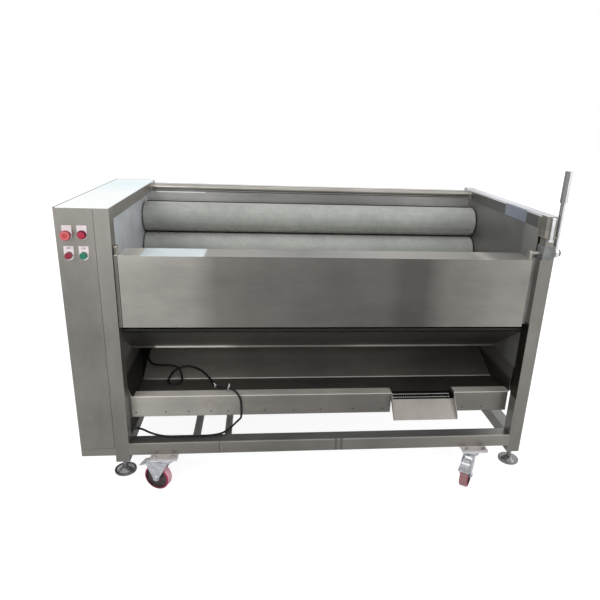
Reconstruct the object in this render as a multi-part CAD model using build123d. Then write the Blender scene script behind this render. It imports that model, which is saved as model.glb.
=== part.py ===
from build123d import *
import math
import os

# A roller vegetable washer, in millimetres. Sizes are measured in the machine's own datum:
# X from the cabinet's left face, Y from the front face, Z up from the floor.
# Everything is moved at the end, so that the origin is the middle of the machine's footprint.

# Driving sizes of the frame
length = 1700.0
depth = 800.0
tube = 50.0
slim_tube = 40.0
small_tube = 25.0
base_tube = 30.0
tube_wall = 2.0
rail_underside = 165.0
post_drop = 28.0
top_height = 1091.0
cabinet_width = 122.0
rear_rail_drop = 12.0
cross_bar_places = (230.0, 350.0)
side_rail_tops = (483.0, 403.0)
side_rail_width = 34.0
foot_plate = 5.0
ledge_drop = 156.0

# Sheet metal
sheet = 2.0
cover_sheet = 1.5
plate_sheet = 3.0
seam = 1.0
cut_over = 5.0

# Trough and brush rollers
roller_count = 7
roller_gap = 4.76
pile_height = 2.0
tuft_width = 5.0
tufts_per_roller = 62
tuft_lean = 12
roller_end_gap = 5.0
arc_setback = 0.6
back_gap = 3.0
arc_drop = 187.7
first_angle = 9.35
angle_step = 28.9
trough_inset = 21.0
right_plate_inset = 3.0
plate_edge = 50.0
shaft_radius = 15.0
shaft_hole_gap = 2.0
fit_gap = 0.05
bearing_radius = 31.0
bearing_length = 26.0
flange_width = 80.0
flange_height = 148.0
flange_thick = 10.0
stud_place = 58.5
stud_radius = 6.0
stud_length = 20.0
stud_nut = 10.0
stud_nut_thick = 8.0
shaft_tail = 4.0

# Drive in the cabinet
sprocket_thick = 6.0
chain_planes = (92.0, 78.0)
main_plane = 106.0
shaft_start = 70.0
roller_teeth = 16
output_teeth = 24
tooth_pitch = 13.35
tooth_depth = 5.5
root_share = 0.62
tip_share = 0.24
chain_gap = 0.3
chain_height = 7.0
driven_roller = 4
output_rise = 62.0
gearbox_width = 78.0
gearbox_depth = 150.0
gearbox_height = 190.0
gearbox_x = 26.0
worm_centres = 63.0
motor_radius = 60.0
motor_length = 170.0
cowl_length = 44.0
cowl_wall = 2.0
fan_radius = 52.0
fan_hub = 18.0
fan_blades = 6
fan_thick = 16.0
fan_space = 10.0
cowl_slots = 5
cowl_slot_pitch = 18.0
braked_casters = 2
motor_shaft = 9.0
terminal_box = (56.0, 80.0, 44.0)
output_bore = 12.5
base_plate = 8.0
base_reach = 90.0

# Discharge gate and its lever
gate_left = 187.0
gate_right_inset = 78.0
gate_height = 255.0
ledge_depth = 110.0
ledge_lip = 15.0
gate_hem = 15.0
boss_shares = (0.1, 0.5, 0.9)
arm_thick = 10.0
arm_gap = 2.0
arm_depth = 40.0
ear_radius = 11.0
pivot_y = 20.0
pivot_rise = 22.0
pivot_radius = 8.0
pivot_gap = 0.06
pivot_reach = 22.0
block_height = 50.0
block_depth = 45.0
block_inset = 6.0
catch_thick = 4.0
stub_height = 30.0
catch_over = 4.0
stub_inset = 8.0
lever_gap = 0.5
lever_radius = 8.5
lever_hub = 17.0
grip_radius = 12.5
lever_length = 180.0
grip_length = 108.0
lever_nut = 13.0
lever_nut_thick = 9.0
strip_setback = 28.0
strip_width = 26.0

# Hopper wall, drip tray and chute
hopper_front = 35.0
hopper_gap = 28.0
hopper_back = 262.0
hopper_fall = 158.0
hopper_lip = 8.0
apron_y = 60.0
apron_bottom = 293.0
rim_height = 378.0
rim_depth = 42.0
tray_floor = 362.0
floor_end = 230.0
tray_back_inset = 65.0
tray_rise = 212.0
tray_lip = 46.0
apron_left = 178.0
apron_right_inset = 54.0
floor_left = 187.0
wall_top_left = 478.0
wall_flange = 18.0
right_floor_inset = 5.0
apron_hole = 2.0
apron_hole_up = 18.0
apron_right_holes = (40.0, 118.0)
apron_hole_places = (15.0, 125.0, 210.0, 294.0, 358.0, 498.0, 611.0, 714.0, 842.0, 959.0)
chute_inset = 530.0
chute_width = 254.0
chute_drop = 13.0
chute_flat = 4.0
chute_lip_y = -3.0
chute_lip_z = 294.0
cheek_lip = 12.0
grate_hole = 2.5
grate_pitch = 8.0
grate_margin = 12.0
grate_rows = (0.3, 0.7)

# Trough back, spray pipe and covers
back_drop = 43.0
back_hem = 12.0
back_bottom = 600.0
pipe_radius = 10.65
pipe_wall = 2.0
inlet_radius = 13.0
inlet_length = 28.0
pipe_inset = 55.0
pipe_drop = 25.0
pipe_holes = 15
pipe_hole = 1.5
clip_shares = (0.1, 0.5, 0.9)
pipe_clip = 20.0
pipe_clip_thick = 10.0
rear_cover_inset = 10.0
rear_cover_bottom = 500.0
side_cover_inset = 7.5
panel_bottom = 196.0

# Operator controls
button_columns = (36.0, 83.0)
button_drops = (87.5, 156.0)
legend_width = 31.0
legend_height = 47.0
legend_below = 17.0
legend_thick = 0.8
legend_round = 15.0
bezel_radius = 14.5
bezel_height = 6.0
collar_height = 5.0
barrel_radius = 11.0
barrel_gap = 0.1
barrel_length = 18.0
bezel_nut = 15.0
bezel_nut_thick = 4.0
cap_radius = 9.5
cap_proud = 8.0
cap_head_radius = 11.3
cap_head_thick = 3.8
cap_tail = 8.0
cap_round = 1.0
bore_depth = 14.0
contact_size = (30.0, 40.0)
contact_depth = 32.0
stop_radius = 16.5
stop_front = 25.0
stop_thick = 13.0
stop_round = 4.0

# Casters
caster_left = 128.0
caster_right_inset = 144.0
caster_inset = 14.0
trail_angles = (158.0, 236.0, 35.0, 120.0)
pad_length = 100.0
pad_width = 92.0
pad_thick = 6.0
top_plate_thick = 4.0
race_radius = 31.0
race_height = 17.7
king_radius = 6.0
king_head = 9.0
king_head_thick = 5.0
crown_radius = 33.0
crown_thick = 5.0
swivel_gap = 0.3
wheel_radius = 51.0
wheel_width = 32.0
tread_depth = 9.0
tread_round = 4.0
web_width = 16.0
hub_radius = 14.0
hub_length = 34.0
leg_gap = 0.5
leg_thick = 3.0
trail = 36.0
axle_radius = 5.0
axle_nut = 9.0
axle_nut_thick = 5.0
leg_end = 12.0
leg_front = 24.0
leg_back = 44.0
ear_reach = 74.0
pedal_x = 66.0
pedal_z = 112.0
pedal_pin = 3.0
pedal_hub = 8.0
pedal_reach = 40.0
pedal_width = 44.0
pedal_neck = 30.0
pedal_thick = 3.0
pedal_slope = 22.0
pedal_swing = 20.0
shoe_gap = 0.5
shoe_width = 6.0
release_tab = (16.0, 30.0, 9.0)
caster_bolt_x = 33.5
caster_bolt_y = 33.0
bolt_radius = 4.0
bolt_head = 7.5
bolt_head_thick = 5.3
bolt_proud = 7.0
nut_thick = 6.0

# Levelling feet
foot_radius = 40.0
foot_rim = 82.0
foot_disc = 8.0
foot_cone = 14.0
foot_neck = 11.0
stem_radius = 8.0
stem_top = 245.0

# Power cord, its gland and plug
cord_radius = 4.0
gland_y = 75.0
gland_z = 235.0
gland_radius = 11.0
gland_thread = 8.0
gland_length = 22.0
gland_nut_thick = 6.0
coil_turns = 5
coil_radius = 42.0
coil_rise = 9.0
coil_x = 262.0
coil_y = 520.0
coil_rest = 0.4
coil_samples = 400
plug_radius = 21.0
plug_length = 52.0
plug_neck = 9.0
plug_neck_length = 24.0
plug_pin = (6.0, 2.0, 19.0)
plug_pin_spread = 8.0

# Where things line up
rail_top = rail_underside + tube
post_bottom = rail_underside - post_drop
cabinet_end = cabinet_width + tube
right_post = length - tube
trough_left = cabinet_width + trough_inset
trough_right = right_post + right_plate_inset
roller_left = trough_left + roller_end_gap
roller_length = trough_right - trough_left - 2 * roller_end_gap
lid_bottom = top_height - sheet
left_rail_bottom = lid_bottom - slim_tube
right_rail_bottom = top_height - tube
right_rail_x = (right_post, right_post + slim_tube)
ledge_height = top_height - ledge_drop
block_top = ledge_height + block_height
catch_height = block_top + stub_height
gate_bottom = ledge_height - gate_height
hopper_top = gate_bottom - hopper_gap
hopper_low = hopper_top - hopper_fall
pivot_z = ledge_height + pivot_rise
grip_start = pivot_z + lever_length
grip_end = grip_start + grip_length
arc_y = depth / 2 + arc_setback
arc_z = top_height - arc_drop
tray_back = depth - tray_back_inset
roller_share = math.sin(math.radians(angle_step / 2))
arc_room = tray_back - arc_y - back_gap + roller_gap / 2
arc_radius = arc_room / (math.cos(math.radians(first_angle)) + roller_share)
roller_radius = arc_radius * roller_share - roller_gap / 2
output_y = depth / 2
back_top = top_height - back_drop
pipe_y = depth - pipe_inset
pipe_z = top_height - pipe_drop
rear_cover_y = depth - rear_cover_inset
side_cover_x = length - side_cover_inset
inlet_start = side_cover_x + cover_sheet + seam
inlet_end = length - tube + slim_tube + inlet_length
button_rows = (top_height - button_drops[0], top_height - button_drops[1])
chute_left = length - chute_inset
arm_left = gate_left - arm_gap - arm_thick
gate_right = length - gate_right_inset
lever_x = length + lever_gap + lever_radius
machine_right = length + lever_gap + 2 * lever_radius + lever_gap + lever_nut_thick
tray_slope = math.atan2(tray_rise, tray_back - floor_end)
chute_right = chute_left + chute_width
plate_top = rail_underside - pad_thick
crown_top = plate_top - top_plate_thick - race_height - swivel_gap
base_z = rail_underside + base_tube + base_plate
output_z = base_z + output_rise
worm_z = output_z + worm_centres
motor_y = output_y + gearbox_depth / 2
tray_top = side_rail_tops[0] + sheet
origin_x = machine_right / 2
origin_y = depth / 2 - tube / 4


def tooth_radius(teeth):
    """Tip radius of a sprocket with this many teeth."""
    return teeth * tooth_pitch / (2 * math.pi)


def roller_place(number):
    """Middle of a roller's shaft, as Y and Z."""
    angle = math.radians(first_angle - angle_step * (number - 1))
    return arc_y + arc_radius * math.cos(angle), arc_z + arc_radius * math.sin(angle)


def caster_centres():
    """Swivel axes of the four casters: front left, front right, rear left, rear right."""
    columns = (cabinet_end + caster_left, right_post - caster_right_inset)
    return [(x, y) for y in (caster_inset, depth - caster_inset) for x in columns]


def foot_centres():
    """Axes of the four levelling feet, in the same order as the casters."""
    columns = (cabinet_width + tube / 2, right_post + tube / 2)
    return [(x, y) for y in (tube / 2, depth - tube / 2) for x in columns]


# Small shape helpers
def block(x, y, z):
    """A box between pairs of limits."""
    pairs = (x, y, z)
    return Pos(*[sum(pair) / 2 for pair in pairs]) * Box(*[pair[1] - pair[0] for pair in pairs])


def rod(start, end, radius):
    """A round bar between two points."""
    axis = Vector(*end) - Vector(*start)
    bar = Cylinder(radius, axis.length, align=(Align.CENTER, Align.CENTER, Align.MIN))
    return Plane(origin=start, z_dir=axis) * bar


def hexagon(start, end, radius):
    """A hexagonal prism between two points."""
    axis = Vector(*end) - Vector(*start)
    return extrude(Plane(origin=start, z_dir=axis) * RegularPolygon(radius, 6), axis.length)


def square_tube(x, y, z, along, wall=tube_wall):
    """A hollow square tube that is open at both ends."""
    pairs = [x, y, z]
    inner = [(low + wall, high - wall) for low, high in pairs]
    inner[along] = (pairs[along][0] - cut_over, pairs[along][1] + cut_over)
    return block(*pairs) - block(*inner)


def closed_tube(x, y, z):
    """A square tube along Y with a plate welded into each end."""
    inside = [(low + tube_wall, high - tube_wall) for low, high in (x, z)]
    shape = square_tube(x, y, z, 1)
    for start in (y[0], y[1] - tube_wall):
        shape += block(inside[0], (start, start + tube_wall), inside[1])
    return shape


def slab_x(outline, x):
    """A Y-Z outline drawn out along X."""
    points = [(x[0], y, z) for y, z in outline]
    return extrude(make_face(Polyline(*points, close=True)), x[1] - x[0], dir=(1, 0, 0))


def slab_y(outline, y):
    """An X-Z outline drawn out along Y."""
    points = [(across, y[0], z) for across, z in outline]
    return extrude(make_face(Polyline(*points, close=True)), y[1] - y[0], dir=(0, 1, 0))


def bent(path, thickness):
    """Outline of a bent sheet. Its thickness lies left of the path, or right where negative."""
    points = [Vector(*point) for point in path]
    runs = [(b - a).normalized() for a, b in zip(points, points[1:])]
    far_side = []
    for point, before, after in zip(points, [runs[0]] + runs, runs + [runs[-1]]):
        sideways = Vector(-before.Y - after.Y, before.X + after.X)
        far_side.append(point + sideways * (thickness / (1 + before.dot(after))))
    return [(p.X, p.Y) for p in points + far_side[::-1]]


def save(name, shape):
    """Move a finished piece to the saved frame and write it."""
    moved = Pos(-origin_x, -origin_y, 0) * shape
    export_step(moved, "parts/" + name + ".step")


def together(solids):
    """One shape that holds separate solids."""
    return Compound(children=[solid for shape in solids for solid in shape.solids()])


# Welded frame
def frame_posts():
    left = (cabinet_width, cabinet_end)
    right = (right_post, length)
    front = (0, tube)
    rear = (depth - tube, depth)
    posts = []
    for x, y, top in ((left, front, lid_bottom), (left, rear, lid_bottom),
                      (right, front, ledge_height), (right, rear, right_rail_bottom)):
        post = square_tube(x, y, (post_bottom, top), 2)
        middle = (sum(x) / 2, sum(y) / 2)
        post += block((x[0] + tube_wall, x[1] - tube_wall), (y[0] + tube_wall, y[1] - tube_wall),
                      (post_bottom, post_bottom + foot_plate))
        post -= rod((*middle, post_bottom - cut_over), (*middle, post_bottom + 2 * foot_plate),
                    stem_radius + pivot_gap)
        posts.append(post)
    bush = rod((cabinet_end - 2 * tube_wall, pivot_y, pivot_z), (cabinet_end + tube_wall, pivot_y, pivot_z),
               pivot_radius + pivot_gap)
    posts[0] -= bush
    stub_x = (right_rail_x[0] + stub_inset, right_rail_x[1])
    stub_y = (0, slim_tube)
    posts.append(block(stub_x, stub_y, (block_top, catch_height)))
    posts.append(block((right_rail_x[0] - sheet, length), (-catch_over, slim_tube + catch_over),
                       (catch_height, catch_height + catch_thick)))
    posts.append(square_tube(right_rail_x, stub_y, (catch_height + catch_thick, right_rail_bottom), 2))
    return together(posts)


def frame_rails():
    low = (rail_underside, rail_top)
    front = (0, tube)
    rear = (depth - tube, depth)
    between = (tube, depth - tube)
    span = (cabinet_end, right_post)
    rails = [square_tube(span, side, low, 0) for side in (front, rear)]
    rails.append(square_tube((right_post, length), between, low, 1))
    rails.append(square_tube((cabinet_width, cabinet_end), between, low, 1))
    for place in cross_bar_places:
        x = (cabinet_end + place, cabinet_end + place + small_tube)
        rails.append(square_tube(x, between, (rail_top - small_tube, rail_top), 1))
    side_x = (trough_right + plate_sheet, trough_right + plate_sheet + side_rail_width)
    for top in side_rail_tops:
        rails.append(square_tube(side_x, between, (top - small_tube, top), 1))
    base = (rail_underside, rail_underside + base_tube)
    rails.append(closed_tube((0, base_tube), (0, depth), base))
    for y in ((0, base_tube), (depth - base_tube, depth)):
        rails.append(square_tube((base_tube, cabinet_width), y, base, 0))
    front_upright = barrel_length + contact_depth + seam
    for start in (front_upright, depth - cover_sheet - base_tube):
        rails.append(square_tube((cover_sheet, cover_sheet + base_tube), (start, start + base_tube),
                                 (panel_bottom, lid_bottom), 2))
    rails.append(square_tube((cabinet_end - slim_tube, cabinet_end), between,
                             (left_rail_bottom, lid_bottom), 1))
    right_rail = closed_tube(right_rail_x, (0, depth), (right_rail_bottom, top_height))
    rails.append(right_rail - rod((right_post - cut_over, pipe_y, pipe_z), (length, pipe_y, pipe_z),
                                  pipe_radius + chain_gap))
    rear_top = lid_bottom - rear_rail_drop + sheet
    rails.append(square_tube(span, (depth - slim_tube, depth), (rear_top - slim_tube, rear_top), 0))
    for x, y in caster_centres():
        rails.append(caster_pad(x, y))
    return together(rails)


def caster_pad(x, y):
    """Welded pad under a rail that a caster is bolted to."""
    pad = block((x - pad_length / 2, x + pad_length / 2), (y - pad_width / 2, y + pad_width / 2),
                (plate_top, rail_underside))
    for bolt in bolt_places(x, y):
        pad -= rod((*bolt, plate_top - cut_over), (*bolt, rail_underside + cut_over), bolt_radius + fit_gap)
    return pad


def bolt_places(x, y):
    """The four bolts of one caster."""
    return [(x + sx * caster_bolt_x, y + sy * caster_bolt_y) for sx in (-1, 1) for sy in (-1, 1)]


# Trough
def end_plate_left():
    plate = block((trough_left - plate_sheet, trough_left), (plate_edge, depth - plate_edge),
                  (rail_top, left_rail_bottom))
    plate -= shaft_holes(trough_left)
    plate -= rod((trough_left - tube, gland_y, gland_z), (trough_left + cut_over, gland_y, gland_z),
                 gland_thread + fit_gap)
    return plate


def end_plate_right():
    plate = block((trough_right, trough_right + plate_sheet), (plate_edge, depth - plate_edge),
                  (tray_top, right_rail_bottom))
    plate -= shaft_holes(trough_right)
    tall = (gate_bottom, ledge_height)
    inner = right_post - sheet
    strip = block((right_post - strip_width, right_post), (strip_setback, strip_setback + sheet), tall)
    strip += block((inner, right_post), (strip_setback, plate_edge + sheet), tall)
    strip += block((inner, trough_right), (plate_edge, plate_edge + sheet), tall)
    return plate + strip


def shaft_holes(x):
    """Clearance holes for the roller shafts."""
    reach = plate_sheet + cut_over
    holes = [rod((x - reach, *roller_place(n)), (x + reach, *roller_place(n)), shaft_radius + shaft_hole_gap)
             for n in range(1, roller_count + 1)]
    return Compound(children=holes)


def trough_back_panel():
    path = [(tray_back + sheet, back_bottom), (tray_back + sheet, back_top),
            (tray_back + sheet + back_hem, back_top), (tray_back + sheet + back_hem, back_top - back_hem)]
    panel = slab_x(bent(path, -sheet), (trough_left, trough_right))
    return panel - block((right_rail_x[0] - seam, trough_right + tube), (tray_back - tube, depth),
                         (right_rail_bottom - seam, top_height))


def hopper_front_wall():
    path = [(hopper_front, hopper_top + hopper_lip), (hopper_front, hopper_top),
            (hopper_back, hopper_low), (hopper_back, hopper_low - hopper_lip)]
    wall = slab_x(bent(path, sheet), (trough_left, trough_right))
    below = (hopper_low - tube, hopper_top + tube)
    for x in ((trough_left - tube, cabinet_end + seam), (right_post - seam, trough_right + tube)):
        wall -= block(x, (0, plate_edge + seam), below)
    return wall


def brush_roller(number):
    """Dense pile with a share of its tufts standing out of it, in leaning rows."""
    y, z = roller_place(number)
    pile = roller_radius - pile_height
    body = rod((0, 0, 0), (roller_length, 0, 0), pile)
    tufts = []
    step = (roller_length - 2 * tube) / (tufts_per_roller - 1)
    for tuft in range(tufts_per_roller):
        along = tube + tuft * step
        turn = tuft * (360 / tuft_lean) * (1 + 1 / tufts_per_roller)
        strand = block((along - tuft_width / 2, along + tuft_width / 2), (-tuft_width / 2, tuft_width / 2),
                       (pile - pile_height, roller_radius - fit_gap))
        tufts.append(Rot(turn, 0, 0) * strand)
    body = body + tufts
    body -= rod((-cut_over, 0, 0), (roller_length + cut_over, 0, 0), shaft_radius + fit_gap)
    return Pos(roller_left, y, z) * body


def sprocket(teeth, x):
    """A toothed disc across X, its middle on the X axis."""
    tip = tooth_radius(teeth)
    points = []
    for tooth in range(teeth):
        for share, radius in ((-root_share, tip - tooth_depth), (-tip_share, tip),
                              (tip_share, tip), (root_share, tip - tooth_depth)):
            angle = (tooth + share / 2) * 2 * math.pi / teeth
            points.append((radius * math.cos(angle), radius * math.sin(angle)))
    return slab_x(points, (x, x + sprocket_thick))


def chain_pairs():
    """Neighbouring rollers and the plane of the chain that links them."""
    return [(n, n + 1, chain_planes[(n - 1) % 2]) for n in range(1, roller_count)]


def roller_shaft(number):
    y, z = roller_place(number)
    end = trough_right + plate_sheet + bearing_length + shaft_tail
    shaft = rod((shaft_start, 0, 0), (end, 0, 0), shaft_radius)
    planes = [plane for first, second, plane in chain_pairs() if number in (first, second)]
    if number == driven_roller:
        planes.append(main_plane)
    for plane in planes:
        shaft += sprocket(roller_teeth, plane)
    return Pos(0, y, z) * shaft


def bearing_units():
    """Flange bearings on the outer faces of both end plates, and the gate's pivot block."""
    units = []
    for number in range(1, roller_count + 1):
        y, z = roller_place(number)
        lean = first_angle - angle_step * (number - 1)
        for side, face in ((-1, trough_left - plate_sheet), (1, trough_right + plate_sheet)):
            x = sorted((face, face + side * flange_thick))
            unit = block(x, (-flange_height / 2, flange_height / 2), (-flange_width / 2, flange_width / 2))
            unit = fillet(unit.edges().filter_by(Axis.X), flange_width / 4)
            unit += rod((face, 0, 0), (face + side * bearing_length, 0, 0), bearing_radius)
            unit -= rod((face - tube, 0, 0), (face + tube, 0, 0), shaft_radius + fit_gap)
            for end in (-1, 1):
                unit -= rod((face - tube, end * stud_place, 0), (face + tube, end * stud_place, 0),
                            stud_radius + fit_gap)
            units.append(Pos(0, y, z) * Rot(lean, 0, 0) * unit)
    pivot = block((right_post + block_inset, length), (0, block_depth), (ledge_height, block_top))
    pivot -= rod((right_post, pivot_y, pivot_z), (length + cut_over, pivot_y, pivot_z),
                 pivot_radius + pivot_gap)
    units.append(pivot)
    return together(units)


# Drive
def pulley_outline(first, second, radius_first, radius_second, plane):
    """Everything inside a belt line round two circles in the plane X."""
    across = math.dist(first, second)
    lean = math.asin((radius_first - radius_second) / across)
    heading = math.atan2(second[1] - first[1], second[0] - first[0])
    ends = ((first, radius_first), (second, radius_second))
    corners = []
    for side, order in ((1, (0, 1)), (-1, (1, 0))):
        angle = heading + side * (math.pi / 2 - lean)
        for end in order:
            centre, radius = ends[end]
            corners.append((centre[0] + radius * math.cos(angle), centre[1] + radius * math.sin(angle)))
    filled = slab_x(corners, (plane, plane + sprocket_thick))
    for centre, radius in ends:
        filled += rod((plane, *centre), (plane + sprocket_thick, *centre), radius)
    return filled


def chain_loop(first, second, inner_first, inner_second, plane):
    """A closed band round two sprockets that lie in the plane X."""
    outer = pulley_outline(first, second, inner_first + chain_height, inner_second + chain_height, plane)
    return outer - pulley_outline(first, second, inner_first, inner_second, plane)


def drive_chains():
    small = tooth_radius(roller_teeth) + chain_gap
    large = tooth_radius(output_teeth) + chain_gap
    loops = [chain_loop(roller_place(a), roller_place(b), small, small, plane)
             for a, b, plane in chain_pairs()]
    loops.append(chain_loop((output_y, output_z), roller_place(driven_roller), large, small, main_plane))
    return together(loops)


def output_shaft():
    shaft = rod((gearbox_x + cut_over, output_y, output_z), (main_plane + sprocket_thick, output_y, output_z),
                output_bore)
    return shaft + Pos(0, output_y, output_z) * sprocket(output_teeth, main_plane)


def gear_motor():
    """Worm gearbox, motor and fan cowl on a base plate."""
    middle = gearbox_x + gearbox_width / 2
    box = block((gearbox_x, gearbox_x + gearbox_width),
                (output_y - gearbox_depth / 2, output_y + gearbox_depth / 2), (base_z, base_z + gearbox_height))
    box -= rod((gearbox_x + cut_over, output_y, output_z), (length, output_y, output_z), output_bore + fit_gap)
    motor_end = motor_y + motor_length
    housing = rod((middle, motor_y, worm_z), (middle, motor_end, worm_z), motor_radius)
    size_x, size_y, size_z = terminal_box
    housing += block((middle - size_x / 2, middle + size_x / 2),
                     (motor_y + size_y / 2, motor_y + 3 * size_y / 2), (worm_z, worm_z + motor_radius + size_z))
    housing -= rod((middle, motor_end - tube, worm_z), (middle, motor_end + cut_over, worm_z),
                   motor_shaft + fit_gap)
    cowl = rod((middle, motor_end, worm_z), (middle, motor_end + cowl_length, worm_z), motor_radius)
    cowl -= rod((middle, motor_end - cut_over, worm_z), (middle, motor_end + cowl_length - cowl_wall, worm_z),
                motor_radius - cowl_wall)
    for slot in range(cowl_slots):
        high = worm_z + (slot - cowl_slots // 2) * cowl_slot_pitch
        cowl -= block((middle - 2 * fan_hub, middle + 2 * fan_hub), (motor_end + fan_thick, motor_end + tube),
                      (high, high + cowl_wall))
    base = block((cover_sheet + seam, cabinet_width),
                 (output_y - base_reach, motor_y + motor_length), (base_z - base_plate, base_z))
    return together([box, housing, cowl, base])


def motor_fan():
    middle = gearbox_x + gearbox_width / 2
    start = motor_y + motor_length + fan_space
    shaft_from = (middle, motor_y + motor_length - tube + sheet, worm_z)
    fan = rod((middle, start, worm_z), (middle, start + fan_thick, worm_z), fan_hub)
    for blade in range(fan_blades):
        vane = block((0, fan_radius), (0, fan_thick), (-sheet / 2, sheet / 2))
        fan += Pos(middle, start, worm_z) * Rot(0, blade * 360 / fan_blades, 0) * vane
    return fan + rod(shaft_from, (middle, start + sheet, worm_z), motor_shaft)


# Discharge gate
def gate_arm(start, front):
    """Upright arm with a rounded hinge ear above the ledge."""
    across = (start, start + arm_thick)
    arm = block(across, (front, arm_depth), (gate_bottom, ledge_height))
    arm += block(across, (pivot_y - ear_radius, pivot_y + ear_radius), (ledge_height - sheet, pivot_z))
    return arm + rod((start, pivot_y, pivot_z), (start + arm_thick, pivot_y, pivot_z), ear_radius)


def discharge_gate():
    path = [(gate_hem, gate_bottom), (0, gate_bottom), (0, ledge_height),
            (ledge_depth, ledge_height), (ledge_depth, ledge_height - ledge_lip)]
    gate = slab_x(bent(path, -sheet), (gate_left, gate_right))
    left = gate_arm(arm_left, 0)
    for share in boss_shares:
        boss = gate_bottom + (ledge_height - gate_bottom) * share
        left += rod((arm_left, pivot_y, boss), (gate_left + arm_gap, pivot_y, boss), pivot_radius)
    left += block((gate_left, gate_left + arm_gap), (0, arm_depth), (gate_bottom, ledge_height))
    right = gate_arm(gate_right - arm_thick, sheet)
    left += rod((arm_left - pivot_reach, pivot_y, pivot_z), (arm_left, pivot_y, pivot_z), pivot_radius)
    shaft_end = machine_right - lever_nut_thick - lever_gap / 2
    right += rod((gate_right, pivot_y, pivot_z), (shaft_end, pivot_y, pivot_z), pivot_radius)
    return gate + left + right


def gate_lever():
    hub_x = (lever_x - lever_radius, lever_x + lever_radius)
    lever = rod((hub_x[0], pivot_y, pivot_z), (hub_x[1], pivot_y, pivot_z), lever_hub)
    lever += rod((lever_x, pivot_y, pivot_z), (lever_x, pivot_y, grip_start), lever_radius)
    lever += rod((lever_x, pivot_y, grip_start), (lever_x, pivot_y, grip_end), grip_radius)
    lever -= rod((hub_x[0] - cut_over, pivot_y, pivot_z), (hub_x[1] + cut_over, pivot_y, pivot_z),
                 pivot_radius + fit_gap)
    nut = hexagon((hub_x[1] + lever_gap, pivot_y, pivot_z), (machine_right, pivot_y, pivot_z), lever_nut)
    return together([lever, nut])


# Drip tray and chute
def tray_path():
    rim_end = apron_y + rim_depth
    return [(apron_y, apron_bottom), (apron_y, rim_height), (rim_end, rim_height), (rim_end, tray_floor),
            (floor_end, tray_floor), (tray_back, tray_floor + tray_rise),
            (tray_back, tray_floor + tray_rise + tray_lip)]


def drip_tray():
    path = tray_path()
    rim_end = apron_y + rim_depth
    left_wall = [(trough_left + sheet, tray_top), (trough_left + sheet, wall_top_left),
                 (floor_left, tray_floor)]
    floor_right = trough_right - right_floor_inset
    right_wall = [(trough_right + plate_sheet + wall_flange, tray_top), (trough_right - sheet, tray_top),
                  (floor_right, tray_floor)]
    apron_path = path[:3] + [(rim_end, tray_floor - sheet)]
    apron = slab_x(bent(apron_path, -sheet), (apron_left, length - apron_right_inset))
    wall_end = trough_left + sheet
    inside = [(wall_end - seam, back_top), (wall_end - seam, wall_top_left), (floor_left - seam, tray_floor),
              (floor_left - seam, apron_bottom), (floor_right + seam, apron_bottom),
              (floor_right + seam, tray_floor), (trough_right - seam, tray_top),
              (trough_right - seam, back_top)]
    floor = slab_x(bent(path[3:], -sheet), (trough_left, trough_right)) & slab_y(inside, (0, depth))
    reach = floor_end + (tray_top - tray_floor) / math.tan(tray_slope)
    above = [(apron_y, rim_height - sheet), (rim_end, rim_height - sheet), (rim_end, tray_floor - sheet),
             (floor_end, tray_floor - sheet), (reach, tray_top - sheet), (reach, tray_top), (apron_y, tray_top)]
    room = slab_x(above, (trough_left - tube, trough_right + tube))
    walls = [slab_y(bent(left_wall, -sheet), (apron_y, tray_back)) & room,
             slab_y(bent(right_wall, sheet), (apron_y, tray_back)) & room]
    tray = floor + apron + walls
    tray -= block((chute_left, chute_right), (0, rim_end), (apron_bottom - tube, rim_height + tube))
    holes = [apron_left + place for place in apron_hole_places]
    holes += [chute_right + place for place in apron_right_holes]
    z = apron_bottom + apron_hole_up
    for x in holes:
        tray -= rod((x, apron_y - cut_over, z), (x, apron_y + cut_over, z), apron_hole)
    return tray


def outlet_chute():
    rim_end = apron_y + rim_depth
    path = [(rim_end, tray_floor), (rim_end - chute_flat, tray_floor), (apron_y, tray_floor - chute_drop),
            (chute_lip_y, chute_lip_z)]
    chute = slab_x(bent(path, sheet), (chute_left, chute_right))
    cheek = [(rim_end, rim_height), (rim_end, tray_floor - sheet), (apron_y, tray_floor - chute_drop - sheet),
             (chute_lip_y, chute_lip_z - sheet), (chute_lip_y, chute_lip_z + cheek_lip), (apron_y, rim_height)]
    for x in (chute_left, chute_right - sheet):
        chute += slab_x(cheek, (x, x + sheet))
    count = int((chute_width - 2 * grate_margin) / grate_pitch) + 1
    drills = []
    for row in grate_rows:
        y = apron_y + (rim_end - chute_flat - apron_y) * row
        for hole in range(count):
            x = chute_left + grate_margin + (hole + row / 2) * grate_pitch
            drills.append(rod((x, y, apron_bottom), (x, y, rim_height), grate_hole))
    return chute - drills


# Spray pipe and covers
def spray_pipe():
    """Drilled pipe along the back. Its water inlet stands out of the right rail."""
    x = (cabinet_end, right_post)
    inlet = (inlet_end, pipe_y, pipe_z)
    pipe = rod((x[0], pipe_y, pipe_z), inlet, pipe_radius)
    pipe += rod((inlet_start, pipe_y, pipe_z), inlet, inlet_radius)
    for share in clip_shares:
        middle = x[0] + (x[1] - x[0]) * share
        pipe += block((middle - pipe_clip / 2, middle + pipe_clip / 2), (pipe_y, depth - slim_tube),
                      (pipe_z - pipe_clip_thick / 2, pipe_z + pipe_clip_thick / 2))
    pipe -= rod((x[0] + pipe_wall, pipe_y, pipe_z), (machine_right, pipe_y, pipe_z), pipe_radius - pipe_wall)
    step = (x[1] - x[0]) / pipe_holes
    for hole in range(pipe_holes):
        middle = x[0] + (hole + 1 / 2) * step
        aim = (middle, pipe_y - pipe_radius, pipe_z - pipe_radius)
        pipe -= rod((middle, pipe_y, pipe_z), aim, pipe_hole)
    return pipe


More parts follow.
